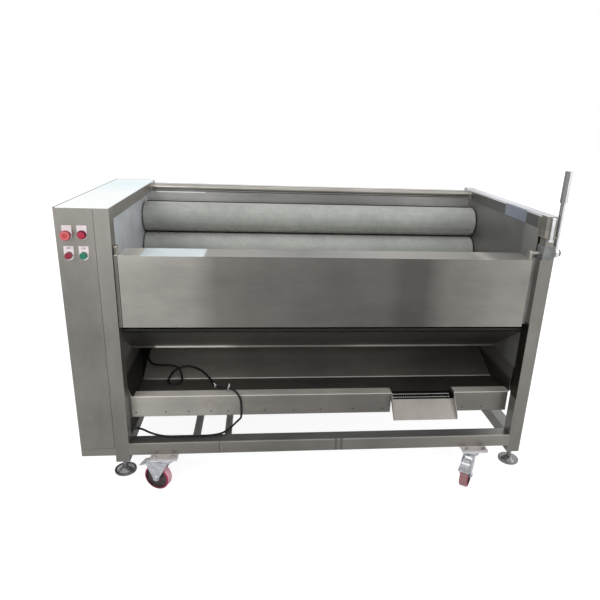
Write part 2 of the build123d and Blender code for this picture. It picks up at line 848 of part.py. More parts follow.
def cabinet_front_panel():
    panel = block((0, cabinet_width - seam), (0, cover_sheet), (panel_bottom, lid_bottom))
    panel += block((cabinet_width - seam - cover_sheet, cabinet_width - seam), (0, base_tube),
                   (panel_bottom, lid_bottom))
    for z in button_rows:
        for x in button_columns:
            panel -= rod((x, -cut_over, z), (x, cut_over, z), barrel_radius + barrel_gap)
    return panel


def cabinet_side_panel():
    return block((0, cover_sheet), (cover_sheet, depth - cover_sheet), (panel_bottom, lid_bottom))


def cabinet_lid():
    return block((0, cabinet_end), (0, depth), (lid_bottom, top_height))


def outer_covers():
    """Rear cover of the cabinet, rear cover of the trough and the cover over the right bearings."""
    rear_bottom = lid_bottom - rear_rail_drop + sheet - slim_tube
    cabinet_rear = block((0, cabinet_width), (depth - cover_sheet, depth), (panel_bottom, lid_bottom))
    trough_rear = block((cabinet_end, right_post), (rear_cover_y, rear_cover_y + cover_sheet),
                        (rear_cover_bottom, rear_bottom))
    side = block((side_cover_x, side_cover_x + cover_sheet), (tube, depth - tube),
                 (side_rail_tops[1] - small_tube, right_rail_bottom))
    return together([cabinet_rear, trough_rear, side])


# Controls
def legend_plates():
    plates = []
    for z in button_rows:
        for x in button_columns:
            plate = block((x - legend_width / 2, x + legend_width / 2), (-legend_thick, 0),
                          (z - legend_below, z - legend_below + legend_height))
            plate = fillet(plate.edges().filter_by(Axis.Y).sort_by(Axis.Z)[:2], legend_round)
            plates.append(plate - rod((x, -cut_over, z), (x, cut_over, z), barrel_radius + barrel_gap))
    return together(plates)


def is_stop(x, z):
    """True for the emergency stop, at the top left."""
    return x == button_columns[0] and z == button_rows[0]


def button_bezels():
    """Collar, threaded barrel, nut and contact block of each switch."""
    bezels = []
    for z in button_rows:
        for x in button_columns:
            proud = collar_height if is_stop(x, z) else bezel_height
            front = -legend_thick - proud
            bezel = rod((x, front, z), (x, -legend_thick, z), bezel_radius)
            bezel += rod((x, front, z), (x, barrel_length, z), barrel_radius)
            bezel += hexagon((x, cover_sheet, z), (x, cover_sheet + bezel_nut_thick, z), bezel_nut)
            bezel += block((x - contact_size[0] / 2, x + contact_size[0] / 2),
                           (barrel_length, barrel_length + contact_depth),
                           (z - contact_size[1] / 2, z + contact_size[1] / 2))
            bezel -= rod((x, front - cut_over, z), (x, bore_depth, z), cap_radius + barrel_gap)
            bezels.append(bezel)
    return together(bezels)


def push_button(x, z):
    front = -legend_thick - bezel_height - cap_proud
    head = rod((x, front, z), (x, front + cap_head_thick, z), cap_head_radius)
    head = fillet(head.edges().sort_by(Axis.Y)[0], cap_round)
    return head + rod((x, front + cap_head_thick / 2, z), (x, cap_tail, z), cap_radius)


def stop_button():
    x, z = button_columns[0], button_rows[0]
    head = rod((x, -stop_front, z), (x, -stop_front + stop_thick, z), stop_radius)
    head = fillet(head.edges().sort_by(Axis.Y)[0], stop_round)
    return head + rod((x, -stop_front + stop_thick / 2, z), (x, cap_tail, z), cap_radius)


# Casters, in their own frame: swivel axis on Z, trailing along X
def caster_shape(shape, number):
    x, y = caster_centres()[number]
    return Pos(x, y, 0) * Rot(0, 0, trail_angles[number]) * shape


def caster_plates():
    plates = []
    for x, y in caster_centres():
        plate = block((-pad_length / 2, pad_length / 2), (-pad_width / 2, pad_width / 2),
                      (plate_top - top_plate_thick, plate_top))
        race_bottom = plate_top - top_plate_thick - race_height
        plate += rod((0, 0, race_bottom), (0, 0, plate_top), race_radius)
        head_top = crown_top - crown_thick - swivel_gap
        plate += rod((0, 0, head_top - king_head_thick), (0, 0, plate_top), king_radius)
        plate += rod((0, 0, head_top - king_head_thick), (0, 0, head_top), king_head)
        plate = Pos(x, y, 0) * plate
        for bolt in bolt_places(x, y):
            plate -= rod((*bolt, plate_top - tube), (*bolt, plate_top + cut_over), bolt_radius + fit_gap)
        plates.append(plate)
    return together(plates)


def caster_fork(number):
    inner = hub_length / 2 + leg_gap
    crown = rod((0, 0, crown_top - crown_thick), (0, 0, crown_top), crown_radius)
    crown += block((-leg_front, leg_back), (-inner - leg_thick, inner + leg_thick),
                   (crown_top - leg_thick, crown_top))
    crown -= rod((0, 0, 0), (0, 0, top_height), king_radius + fit_gap)
    side = [(-leg_front, crown_top), (leg_back, crown_top), (ear_reach, pedal_z + leg_end),
            (ear_reach, pedal_z - pedal_hub), (trail + leg_end, wheel_radius), (trail - leg_end, wheel_radius)]
    fork = crown
    for y in (-inner - leg_thick, inner):
        leg = slab_y(side, (y, y + leg_thick))
        fork += leg + rod((trail, y, wheel_radius), (trail, y + leg_thick, wheel_radius), leg_end)
    outer = inner + leg_thick
    fork += rod((trail, -outer, wheel_radius), (trail, outer, wheel_radius), axle_radius)
    for side_sign in (-1, 1):
        fork += hexagon((trail, side_sign * outer, wheel_radius),
                        (trail, side_sign * (outer + axle_nut_thick), wheel_radius), axle_nut)
    if number < braked_casters:
        fork += rod((pedal_x, -outer, pedal_z), (pedal_x, outer, pedal_z), pedal_pin)
    return caster_shape(fork, number)


def caster_wheel(number):
    """Core and tyre, turned about the axle."""
    def ring(inner, outer, width):
        disc = rod((trail, -width / 2, wheel_radius), (trail, width / 2, wheel_radius), outer)
        return disc - rod((trail, -width, wheel_radius), (trail, width, wheel_radius), inner)

    rim = wheel_radius - tread_depth
    core = ring(axle_radius + fit_gap, hub_radius, hub_length)
    core += ring(hub_radius - seam, rim - leg_thick, web_width)
    core += ring(rim - leg_thick - seam, rim, wheel_width)
    tyre = ring(rim, wheel_radius, wheel_width)
    tyre = fillet(tyre.edges().filter_by(GeomType.CIRCLE).sort_by(SortBy.RADIUS)[-2:], tread_round)
    return caster_shape(together([core, tyre]), number)


def brake_pedal(number):
    """Foot pedal with its brake shoe, on the trailing side."""
    pivot = (pedal_x, 0, pedal_z)
    half = hub_length / 2
    pedal = rod((pedal_x, -half, pedal_z), (pedal_x, half, pedal_z), pedal_hub)
    neck_end = ear_reach - pedal_x + cut_over
    tab = block((0, neck_end + sheet), (-pedal_neck / 2, pedal_neck / 2), (-pedal_thick / 2, pedal_thick / 2))
    tab += block((neck_end, pedal_reach), (-pedal_width / 2, pedal_width / 2),
                 (-pedal_thick / 2, pedal_thick / 2))
    pedal += Pos(*pivot) * Rot(0, pedal_slope, 0) * tab
    tab_x, tab_y, tab_z = release_tab
    pedal += Pos(*pivot) * block((-tab_x, 0), (-tab_y / 2, tab_y / 2), (0, pedal_hub + tab_z))
    reach = math.dist((pedal_x, pedal_z), (trail, wheel_radius)) - wheel_radius - shoe_gap
    toward_wheel = math.degrees(math.atan2(trail - pedal_x, wheel_radius - pedal_z))
    shoe = block((-shoe_width / 2, shoe_width / 2), (-pedal_neck / 2, pedal_neck / 2), (0, reach))
    pedal += Pos(*pivot) * Rot(0, toward_wheel - pedal_swing, 0) * shoe
    pedal -= rod((pedal_x, -half - cut_over, pedal_z), (pedal_x, half + cut_over, pedal_z),
                 pedal_pin + fit_gap)
    return caster_shape(pedal, number)


def levelling_foot(number):
    x, y = foot_centres()[number]
    rim_top = foot_rim + foot_disc
    foot = rod((x, y, foot_rim), (x, y, rim_top), foot_radius)
    cone = Cone(foot_radius - foot_disc, foot_neck, foot_cone, align=(Align.CENTER, Align.CENTER, Align.MIN))
    foot += Pos(x, y, rim_top) * cone
    foot = fillet(foot.edges().filter_by(GeomType.CIRCLE).sort_by(SortBy.RADIUS)[-1], sheet)
    return foot + rod((x, y, rim_top), (x, y, stem_top), stem_radius)


def fasteners():
    """Bearing studs with nuts, and the caster bolts."""
    pieces = []
    for number in range(1, roller_count + 1):
        y, z = roller_place(number)
        lean = first_angle - angle_step * (number - 1)
        for side, face in ((-1, trough_left - plate_sheet), (1, trough_right + plate_sheet)):
            for end in (-1, 1):
                place = (end * stud_place, 0)
                flange = face + side * flange_thick
                stud = rod((face, *place), (face + side * stud_length, *place), stud_radius)
                stud += hexagon((flange, *place), (flange + side * stud_nut_thick, *place), stud_nut)
                pieces.append(Pos(0, y, z) * Rot(lean, 0, 0) * stud)
    under = plate_top - top_plate_thick
    for x, y in caster_centres():
        outer_side = y - caster_bolt_y if y < depth / 2 else y + caster_bolt_y
        for bolt in bolt_places(x, y):
            stands = bolt[1] == outer_side
            top = rail_underside + bolt_proud if stands else rail_underside
            piece = rod((*bolt, under - bolt_head_thick), (*bolt, top), bolt_radius)
            piece += hexagon((*bolt, under - bolt_head_thick), (*bolt, under), bolt_head)
            if stands:
                piece += hexagon((*bolt, rail_underside), (*bolt, rail_underside + nut_thick), bolt_head)
            pieces.append(piece)
    return together(pieces)


# Power cord: the free route from the gland to the coil, chosen by hand along the photographed line
cord_route = [
    (165, 75, 235), (200, 75, 235), (240, 55, 224), (288, 38, 219.6), (342, 34, 219.6), (400, 33, 219.6),
    (455, 34, 219.6), (505, 44, 219.8), (528, 64, 220), (548, 90, 223), (568, 94, 243), (580, 74, 266),
    (586, 50, 288), (588, 45, 320), (586, 52, 354), (578, 49, 384), (554, 66, 403), (524, 84, 396),
    (498, 98, 391.5), (478, 130, 383), (471, 175, 367.5), (452, 226, 368.5), (420, 262, 382),
    (382, 283, 390.5), (342, 287, 392), (308, 266, 384), (291, 228, 369), (290, 188, 366.6),
    (317, 171.5, 366.6), (344.5, 187, 366.6), (345, 222, 368), (334, 248, 392), (318, 262, 403),
    (284, 270, 405), (246, 280, 399), (212, 296, 398), (190, 330, 410), (190, 376, 430), (208, 424, 449),
]


def slope_point(x, along, up):
    """A point on the tray's slope: along it from its lower bend, and up at right angles to it."""
    y = floor_end + along * math.cos(tray_slope) - up * math.sin(tray_slope)
    z = tray_floor + along * math.sin(tray_slope) + up * math.cos(tray_slope)
    return (x, y, z)


def coil_points():
    """Start, middle and end of each half turn, and the straight ends."""
    along = (coil_y - floor_end) / math.cos(tray_slope)
    rest = cord_radius + coil_rest
    radius = math.hypot(coil_radius, coil_rise / 4)
    stops = []
    for half in range(2 * coil_turns + 1):
        side = 1 if half % 2 else -1
        up = rest + half * coil_rise / 2
        stops.append(slope_point(coil_x + side * coil_radius, along, up))
    middles = []
    for half in range(2 * coil_turns):
        side = -1 if half % 2 else 1
        up = rest + (half + 1 / 2) * coil_rise / 2
        middles.append(slope_point(coil_x, along + side * radius, up))
    straight = 2 * cord_radius
    start = slope_point(coil_x - coil_radius, along - straight, rest)
    last = rest + coil_turns * coil_rise
    end = slope_point(coil_x - coil_radius, along + straight, last)
    return start, stops, middles, end


def tail_route():
    """From the top of the coil down to the plug, which lies on the slope."""
    along = (coil_y - floor_end) / math.cos(tray_slope) + 2 * cord_radius
    up = cord_radius + coil_rest + coil_turns * coil_rise
    shape = ((0, 0, 0), (0, 34, 0), (28, 64, -8), (68, 76, -20), (108, 72, -28.2), (146, 66, -28.2))
    x = coil_x - coil_radius
    return [slope_point(x + dx, along + dy, up + dz) for dx, dy, dz in shape]


def corner_radii(points):
    """Arc radius at each inner point: as large as the two runs allow."""
    radii = []
    for before, point, after in zip(points, points[1:], points[2:]):
        into = Vector(*point) - Vector(*before)
        out = Vector(*after) - Vector(*point)
        turn = math.radians(into.get_angle(out))
        radii.append(0.45 * min(into.length, out.length) / math.tan(turn / 2))
    return radii


def tube_along(path):
    """A round cord swept along a wire."""
    start = path @ 0
    section = Plane(origin=start, z_dir=path % 0) * Circle(cord_radius)
    return sweep(section, path=path)


def routed(points, label):
    """A cord along a route of straight runs and arcs."""
    radii = corner_radii(points)
    print(label, "corner radii", [round(radius) for radius in radii])
    path = FilletPolyline(*points, radius=radii)
    cord = tube_along(path)
    section = math.pi * cord_radius ** 2
    print(label, "length", round(path.length), "volume share", round(cord.volume / section / path.length, 4))
    return cord


def feed_route():
    """The free route, then straight into the start of the coil."""
    along = (coil_y - floor_end) / math.cos(tray_slope) - 2 * cord_radius
    aim = slope_point(coil_x - coil_radius, along - coil_radius, cord_radius + coil_rest)
    return cord_route + [aim, coil_points()[0]]


def power_cord():
    return together([routed(feed_route(), "feed"), routed(tail_route(), "tail")])


def cord_coil():
    start, stops, middles, end = coil_points()
    edges = [Line(start, stops[0])]
    for first, middle, last in zip(stops, middles, stops[1:]):
        edges.append(ThreePointArc(first, middle, last))
    edges.append(Line(stops[-1], end))
    path = Wire(edges)
    samples = [path @ (i / coil_samples) for i in range(coil_samples + 1)]
    skip = int(4 * coil_radius * coil_samples / path.length)
    gap = min((a - b).length for i, a in enumerate(samples) for b in samples[i + skip:])
    print("coil length", round(path.length), "least gap to itself", round(gap - 2 * cord_radius, 2))
    return tube_along(path)


def cord_gland():
    gland = hexagon((trough_left, gland_y, gland_z), (trough_left + gland_length / 2, gland_y, gland_z),
                    gland_radius)
    gland += rod((trough_left, gland_y, gland_z), (trough_left + gland_length, gland_y, gland_z), gland_thread)
    gland += rod((trough_left - tube / 2, gland_y, gland_z), (trough_left, gland_y, gland_z), gland_thread)
    inner = trough_left - plate_sheet
    gland += hexagon((inner - gland_nut_thick, gland_y, gland_z), (inner, gland_y, gland_z), gland_radius)
    return gland


def power_plug():
    """Rewirable plug that lies on the slope at the end of the tail."""
    end, before = tail_route()[-1], tail_route()[-2]
    place = Plane(origin=end, z_dir=Vector(*end) - Vector(*before))
    neck_end = plug_neck_length + plug_length
    grow = (Align.CENTER, Align.CENTER, Align.MIN)
    plug = Cylinder(plug_neck, plug_neck_length, align=grow)
    plug += Pos(0, 0, plug_neck_length) * Cylinder(plug_radius, plug_length, align=grow)
    wide, thin, long = plug_pin
    for turn in range(0, 360, 120):
        pin = Pos(0, plug_pin_spread, neck_end) * Box(wide, thin, long, align=grow)
        plug += Rot(0, 0, turn) * pin
    return place * plug


def main():
    os.makedirs("parts", exist_ok=True)
    save("frame_posts", frame_posts())
    save("frame_rails", frame_rails())
    save("end_plate_left", end_plate_left())
    save("end_plate_right", end_plate_right())
    save("trough_back_panel", trough_back_panel())
    save("hopper_front_wall", hopper_front_wall())
    save("drip_tray", drip_tray())
    save("outlet_chute", outlet_chute())
    save("spray_pipe", spray_pipe())
    save("cabinet_front_panel", cabinet_front_panel())
    save("cabinet_side_panel", cabinet_side_panel())
    save("cabinet_lid", cabinet_lid())
    save("outer_covers", outer_covers())
    save("bearing_units", bearing_units())
    save("gear_motor", gear_motor())
    save("drive_chains", drive_chains())
    save("output_shaft", output_shaft())
    save("motor_fan", motor_fan())
    save("caster_plates", caster_plates())
    save("button_bezels", button_bezels())
    save("legend_plates", legend_plates())
    save("fasteners", fasteners())
    save("discharge_gate", discharge_gate())
    save("gate_lever", gate_lever())
    save("stop_button", stop_button())
    save("push_button_1", push_button(button_columns[1], button_rows[0]))
    save("push_button_2", push_button(button_columns[0], button_rows[1]))
    save("push_button_3", push_button(button_columns[1], button_rows[1]))
    for number in range(1, roller_count + 1):
        save("brush_roller_" + str(number), brush_roller(number))
        save("roller_shaft_" + str(number), roller_shaft(number))
    for number in range(len(trail_angles)):
        save("caster_fork_" + str(number + 1), caster_fork(number))
        save("caster_wheel_" + str(number + 1), caster_wheel(number))
        save("levelling_foot_" + str(number + 1), levelling_foot(number))
        if number < braked_casters:
            save("brake_pedal_" + str(number + 1), brake_pedal(number))
    save("cord_gland", cord_gland())
    save("power_cord", power_cord())
    save("cord_coil", cord_coil())
    save("power_plug", power_plug())


if __name__ == "__main__":
    main()
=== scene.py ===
import math

import bpy
from mathutils import Matrix, Vector


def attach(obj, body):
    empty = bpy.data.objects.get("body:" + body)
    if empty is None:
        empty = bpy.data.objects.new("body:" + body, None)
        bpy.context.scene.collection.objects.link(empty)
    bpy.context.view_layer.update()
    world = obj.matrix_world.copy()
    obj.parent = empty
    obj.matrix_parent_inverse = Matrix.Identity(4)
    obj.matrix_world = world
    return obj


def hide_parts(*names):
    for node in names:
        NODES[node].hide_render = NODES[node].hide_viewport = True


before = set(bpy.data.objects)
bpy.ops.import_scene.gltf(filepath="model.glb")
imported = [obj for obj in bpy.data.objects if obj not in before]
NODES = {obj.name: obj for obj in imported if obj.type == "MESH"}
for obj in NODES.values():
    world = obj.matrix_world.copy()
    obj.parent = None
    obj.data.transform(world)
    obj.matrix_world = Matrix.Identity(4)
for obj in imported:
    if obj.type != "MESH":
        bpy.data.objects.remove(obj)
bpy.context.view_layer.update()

# A roller vegetable washer. Places are written in the machine's own millimetres:
# X from the cabinet's left face, Y from the front face, Z up from the floor.
MILLIMETRE = 0.001
MACHINE_X = 863.5
MACHINE_Y = 387.5
PHOTO_SIZE = 600.0


def place(x, y, z):
    """A machine place in the shared frame, in metres."""
    return Vector((x - MACHINE_X, y - MACHINE_Y, z)) * MILLIMETRE


def along_axis(axis, value):
    """One machine coordinate in the shared frame, in metres."""
    return (value - {"X": MACHINE_X, "Y": MACHINE_Y, "Z": 0}[axis]) * MILLIMETRE


# Camera at the photograph's viewing angle
CAMERA_PLACE = (652.5, -1753.4, 1389.2)
CAMERA_YAW = 0.1059
CAMERA_PITCH = 0.3235
CAMERA_ROLL = 0.0375
FOCAL_PIXELS = 532.1
PRINCIPAL_POINT = (312.7, 295.8)
SENSOR_WIDTH = 36.0


def add_camera():
    bpy.ops.object.camera_add()
    camera = bpy.context.object
    camera.name = "camera"
    forward = Vector((math.sin(CAMERA_YAW) * math.cos(CAMERA_PITCH),
                      math.cos(CAMERA_YAW) * math.cos(CAMERA_PITCH), -math.sin(CAMERA_PITCH)))
    level = Vector((math.cos(CAMERA_YAW), -math.sin(CAMERA_YAW), 0))
    above = level.cross(forward)
    right = math.cos(CAMERA_ROLL) * level + math.sin(CAMERA_ROLL) * above
    up = math.cos(CAMERA_ROLL) * above - math.sin(CAMERA_ROLL) * level
    turned = Matrix((right, up, -forward)).transposed().to_4x4()
    camera.matrix_world = Matrix.Translation(place(*CAMERA_PLACE)) @ turned
    camera.data.sensor_width = SENSOR_WIDTH
    camera.data.lens = SENSOR_WIDTH * FOCAL_PIXELS / PHOTO_SIZE
    camera.data.shift_x = -(PRINCIPAL_POINT[0] / PHOTO_SIZE - 0.5)
    camera.data.shift_y = PRINCIPAL_POINT[1] / PHOTO_SIZE - 0.5
    bpy.context.scene.camera = camera


# Shader maths
class Socket:
    """A number or colour inside a material. Sums on it add the Math nodes they need."""

    def __init__(self, finish, socket):
        self.finish = finish
        self.socket = socket

    def math(self, operation, first, second):
        return self.finish.add("ShaderNodeMath", {"operation": operation}, {0: first, 1: second})

    def __add__(self, other):
        return self.math("ADD", self, other)

    def __sub__(self, other):
        return self.math("SUBTRACT", self, other)

    def __rsub__(self, other):
        return self.math("SUBTRACT", other, self)

    def __mul__(self, other):
        return self.math("MULTIPLY", self, other)

    def __truediv__(self, other):
        return self.math("DIVIDE", self, other)

    def __pow__(self, other):
        return self.math("POWER", self, other)

    __radd__ = __add__
    __rmul__ = __mul__

    def smooth(self, low, high):
        """0 below low, 1 above high, and a smooth step between them."""
        return self.finish.add("ShaderNodeMapRange", {"interpolation_type": "SMOOTHSTEP"},
                               {"Value": self, "From Min": low, "From Max": high})


class Finish:
    """One material and the nodes of its look."""

    def __init__(self, name):
        self.material = bpy.data.materials.new(name)
        self.material.use_nodes = True
        self.tree = self.material.node_tree
        self.tree.nodes.clear()
        self.place = self.add("ShaderNodeTexCoord", out="Object")

    def add(self, kind, settings=None, inputs=None, out=0):
        """Any node: its settings first, then the values or links of its sockets."""
        node = self.tree.nodes.new(kind)
        for key, value in (settings or {}).items():
            if key == "stops":
                ramp = node.color_ramp.elements
                while len(ramp) < len(value):
                    ramp.new(1.0)
                for stop, (position, colour) in zip(ramp, value):
                    stop.position = position
                    stop.color = (*colour, 1.0)
            else:
                setattr(node, key, value)
        for key, value in (inputs or {}).items():
            if isinstance(value, Socket):
                self.tree.links.new(value.socket, node.inputs[key])
            elif isinstance(value, tuple) and len(node.inputs[key].default_value) == 4:
                node.inputs[key].default_value = (*value, 1.0)
            else:
                node.inputs[key].default_value = value
        return Socket(self, node.outputs[out])

    def stretched(self, scale):
        """Object coordinates in metres, scaled by axis."""
        return self.add("ShaderNodeMapping", None, {"Vector": self.place, "Scale": scale})

    def noise(self, scale, detail=3.0, roughness=0.55, along=None):
        vector = self.stretched(along) if along else self.place
        return self.add("ShaderNodeTexNoise", None,
                        {"Vector": vector, "Scale": scale, "Detail": detail, "Roughness": roughness})

    def axis(self, name):
        return self.add("ShaderNodeSeparateXYZ", None, {0: self.place}, out=name)

    def mix(self, first, second, factor):
        """One colour blended into another."""
        return self.add("ShaderNodeMix", {"data_type": "RGBA"}, {0: factor, 6: first, 7: second}, out=2)

    def tint(self, first, second, factor=1.0):
        """One colour multiplied by another."""
        return self.add("ShaderNodeMix", {"data_type": "RGBA", "blend_type": "MULTIPLY"},
                        {0: factor, 6: first, 7: second}, out=2)

    def ramp(self, factor, stops):
        return self.add("ShaderNodeValToRGB", {"stops": stops}, {0: factor})

    def spread(self, axis, stops):
        """Tones along one machine axis: each stop is a place in millimetres and a grey or a colour."""
        low, length = stops[0][0], stops[-1][0] - stops[0][0]
        spot = (self.axis(axis) - along_axis(axis, low)) / (length * MILLIMETRE)
        return self.ramp(spot, [((at - low) / length, tone if isinstance(tone, tuple) else warm(tone, 0))
                                for at, tone in stops])

    def zone(self, limits, edge=0.4):
        """1 inside a box of machine places, 0 outside, with a soft edge in millimetres."""
        inside = None
        for axis, (low, high) in limits.items():
            spot = self.axis(axis)
            rise = spot.smooth(along_axis(axis, low - edge), along_axis(axis, low + edge))
            fall = 1 - spot.smooth(along_axis(axis, high - edge), along_axis(axis, high + edge))
            inside = rise * fall if inside is None else inside * rise * fall
        return inside

    def bump(self, height, strength, distance, normal=None):
        inputs = {"Height": height, "Strength": strength, "Distance": distance}
        if normal:
            inputs["Normal"] = normal
        return self.add("ShaderNodeBump", None, inputs)

    def rounded(self, radius):
        """A normal that rounds off sharp edges."""
        return self.add("ShaderNodeBevel", {"samples": 4}, {"Radius": radius})

    def shade(self, **inputs):
        """The closing shader. Returns the material."""
        named = {key.replace("_", " "): value for key, value in inputs.items()}
        self.close(self.add("ShaderNodeBsdfPrincipled", None, named))
        return self.material

    def close(self, surface):
        output = self.tree.nodes.new("ShaderNodeOutputMaterial")
        self.tree.links.new(surface.socket, output.inputs["Surface"])


def warm(level, warmth=0.06):
    """A grey of this brightness, a little warm, or cool where warmth is below nought."""
    return (level * (1 + warmth), level, level * (1 - 1.6 * warmth))


# Finishes. The stop head's tones go from its middle to its edge; its pink shoulder is a painted highlight.
UPPER_RED_BEZEL = {"X": (60, 110), "Z": (980, 1030)}
STOP_PLACE = (36.0, 1003.5)
STOP_RADIUS = 16.5
STOP_TONES_WITH_HIGHLIGHT = [(0.0, (0.48, 0.035, 0.03)), (0.34, (0.55, 0.05, 0.045)), (0.5, (0.36, 0.018, 0.02)),
              (0.6, (0.66, 0.14, 0.16)), (0.78, (0.64, 0.13, 0.15)), (0.92, (0.32, 0.02, 0.035)),
              (1.0, (0.28, 0.016, 0.03))]
GRAIN = (14.0, 900.0)
SMEAR = (0.35, 1.6)
STAIN_TONE = 0.66
SKIN_SCALE = 500.0
EDGE = 0.0009
FLOOR_TONE = 0.88
FLOOR_FADE = 0.62
FLOOR_GLOW = 1.4


def drawn_out(along, scales):
    """Noise scales of a pattern that is drawn out along one axis: the scale along it, then across it."""
    return tuple(scales[0] if axis == along else scales[1] for axis in "XYZ")


def stainless(name, tone, along="X", warmth=0.06, roughness=0.34, cloud=0.16, metallic=0.82, tones=(),
              zones=(), stain=0.25):
    """Brushed stainless sheet: a fine grain, a cloudy tone that is painted soft reflection, smears and a few
    darker stains.

    tones are sweeps along an axis that multiply the colour. zones are boxes with a colour or a sweep of their
    own, and where a third number stands, a share that takes the mirror out of the metal there. In the tables
    below both carry painted light, shade and reflections.
    """
    finish = Finish(name)
    grain = finish.noise(1.0, 4.0, 0.6, drawn_out(along, GRAIN))
    # The cloudy tone is a painted soft reflection; the grain, smears and stains are the metal's own.
    cloudy_reflections = finish.noise(2.6, 4.0, 0.6)
    smears = finish.noise(9.0, 5.0, 0.65, drawn_out(along, SMEAR))
    stains = finish.noise(5.0, 6.0, 0.7).smooth(0.58, 0.74)
    pattern = (cloudy_reflections * 0.55 + smears * 0.25 + grain * 0.2).smooth(0.36, 0.64)
    mottle = finish.mix(warm(1 - cloud, 0), warm(1 + cloud, 0), pattern)
    base = warm(tone, warmth)
    for sweep in tones:
        base = finish.tint(base, finish.spread(*sweep))
    mirror = metallic
    for limits, look, *matt in zones:
        inside = finish.zone(limits)
        if isinstance(look[0], str):
            look = finish.tint(finish.spread(*look), warm(1.0, warmth))
        base = finish.mix(base, look, inside)
        if matt:
            mirror = mirror * (1 - inside * matt[0])
    colour = finish.tint(finish.tint(base, mottle), warm(STAIN_TONE, warmth), stains * stain)
    rough = roughness + (smears - 0.5) * 0.16 + (grain - 0.5) * 0.14
    normal = finish.bump(grain, 0.12, 0.0002, finish.rounded(EDGE))
    return finish.shade(Base_Color=colour, Metallic=mirror, Roughness=rough, Normal=normal)


def cast(name, tone, warmth=0.0, roughness=0.55, metallic=0.5):
    """Cast or forged metal with a fine pebbled skin."""
    finish = Finish(name)
    pebbles = finish.noise(420.0, 3.0)
    dirt = finish.noise(30.0, 5.0, 0.65)
    colour = finish.mix(warm(tone * 0.75, warmth), warm(tone * 1.2, warmth), dirt.smooth(0.35, 0.65))
    normal = finish.bump(pebbles, 0.3, 0.0004, finish.rounded(EDGE))
    return finish.shade(Base_Color=colour, Metallic=metallic, Roughness=roughness + (dirt - 0.5) * 0.3,
                        Normal=normal)


def zinc(name, tone=0.55, mottle=1.0, metallic=0.9):
    """Bright zinc plating with faint spangle and bluish patches."""
    finish = Finish(name)
    spangle = finish.add("ShaderNodeTexVoronoi", None, {"Vector": finish.place, "Scale": 260.0})
    patches = finish.noise(60.0, 4.0, 0.6)
    colour = finish.mix(warm(tone * (1 - 0.4 * mottle), -0.02), warm(tone * (1 + 0.25 * mottle), -0.02),
                        patches.smooth(0.35, 0.68))
    rough = 0.24 + patches * 0.22 + spangle * 0.1
    normal = finish.bump(spangle, 0.08, 0.0004, finish.rounded(EDGE))
    return finish.shade(Base_Color=colour, Metallic=metallic, Roughness=rough, Normal=normal)


def moulded(name, colour, shadow, roughness=0.35, coat=0.3, gloss=0.5):
    """Moulded plastic or rubber with a slight skin texture."""
    finish = Finish(name)
    skin = finish.noise(SKIN_SCALE, 3.0)
    wear = finish.noise(45.0, 4.0, 0.6)
    tone = finish.mix(shadow, colour, wear.smooth(0.3, 0.55))
    normal = finish.bump(skin, 0.12, 0.0003, finish.rounded(EDGE / 2))
    return finish.shade(Base_Color=tone, Roughness=roughness + (wear - 0.5) * 0.2, Coat_Weight=coat,
                        Coat_Roughness=0.15, Specular_IOR_Level=gloss, Normal=normal)


def chrome_rings():
    """Chrome bezels, with a dark maroon one round the upper red button."""
    finish = Finish("chrome_rings")
    patches = finish.noise(60.0, 4.0, 0.6)
    chrome = finish.mix((0.62, 0.62, 0.62), (0.95, 0.95, 0.95), patches.smooth(0.35, 0.65))
    upper = finish.zone(UPPER_RED_BEZEL)
    colour = finish.mix(chrome, (0.16, 0.012, 0.03), upper)
    return finish.shade(Base_Color=colour, Metallic=1 - upper, Roughness=0.16 + patches * 0.16,
                        Normal=finish.rounded(EDGE / 2))


def stop_red():
    """Mushroom head: bright middle, darker ridge, and a paler pink shoulder that is a painted highlight."""
    finish = Finish("stop_red")
    wear = finish.noise(120.0, 4.0, 0.6)
    across = (finish.axis("X") - along_axis("X", STOP_PLACE[0])) / MILLIMETRE
    up = (finish.axis("Z") - along_axis("Z", STOP_PLACE[1])) / MILLIMETRE
    spot = (across ** 2 + up ** 2) ** 0.5 / STOP_RADIUS + (wear - 0.5) * 0.12
    colour = finish.ramp(spot, STOP_TONES_WITH_HIGHLIGHT)
    return finish.shade(Base_Color=colour, Roughness=0.3 + wear * 0.14, Coat_Weight=0.35, Coat_Roughness=0.12,
                        Normal=finish.rounded(EDGE / 2))


def nylon_pile(name):
    """Brush pile: pale tuft ends over a darker depth that is painted shade, as marked on the mesh."""
    finish = Finish(name)
    tips = finish.add("ShaderNodeAttribute", {"attribute_name": "tip"}, out="Fac")
    strands = finish.add("ShaderNodeTexVoronoi", None, {"Vector": finish.place, "Scale": 900.0})
    wet = finish.noise(4.0, 4.0, 0.6)
    mottle = finish.noise(26.0, 4.0, 0.65)
    pale = finish.mix((0.44, 0.445, 0.41), (0.59, 0.595, 0.55), mottle.smooth(0.3, 0.7))
    # Painted shade: the depth between the tufts is darker than the tuft ends.
    shaded_depth = finish.mix((0.32, 0.325, 0.30), (0.40, 0.405, 0.375), wet.smooth(0.35, 0.65))
    colour = finish.mix(shaded_depth, pale, (tips - strands * 0.35).smooth(0.1, 0.8))
    normal = finish.bump(strands, 0.5, 0.0006)
    return finish.shade(Base_Color=colour, Roughness=0.72 - tips * 0.12, Normal=normal)


def white_stage(name):
    """Pale floor that keeps the shadow, and fades to white as the camera sees it."""
    finish = Finish(name)
    diffuse = finish.add("ShaderNodeBsdfDiffuse", None, {"Color": warm(FLOOR_TONE, 0), "Roughness": 1.0})
    white = finish.add("ShaderNodeEmission", None, {"Color": warm(1.0, 0), "Strength": FLOOR_GLOW})
    seen = finish.add("ShaderNodeLightPath", out="Is Camera Ray")
    finish.close(finish.add("ShaderNodeMixShader", None, {0: seen * FLOOR_FADE, 1: diffuse, 2: white}))
    return finish.material


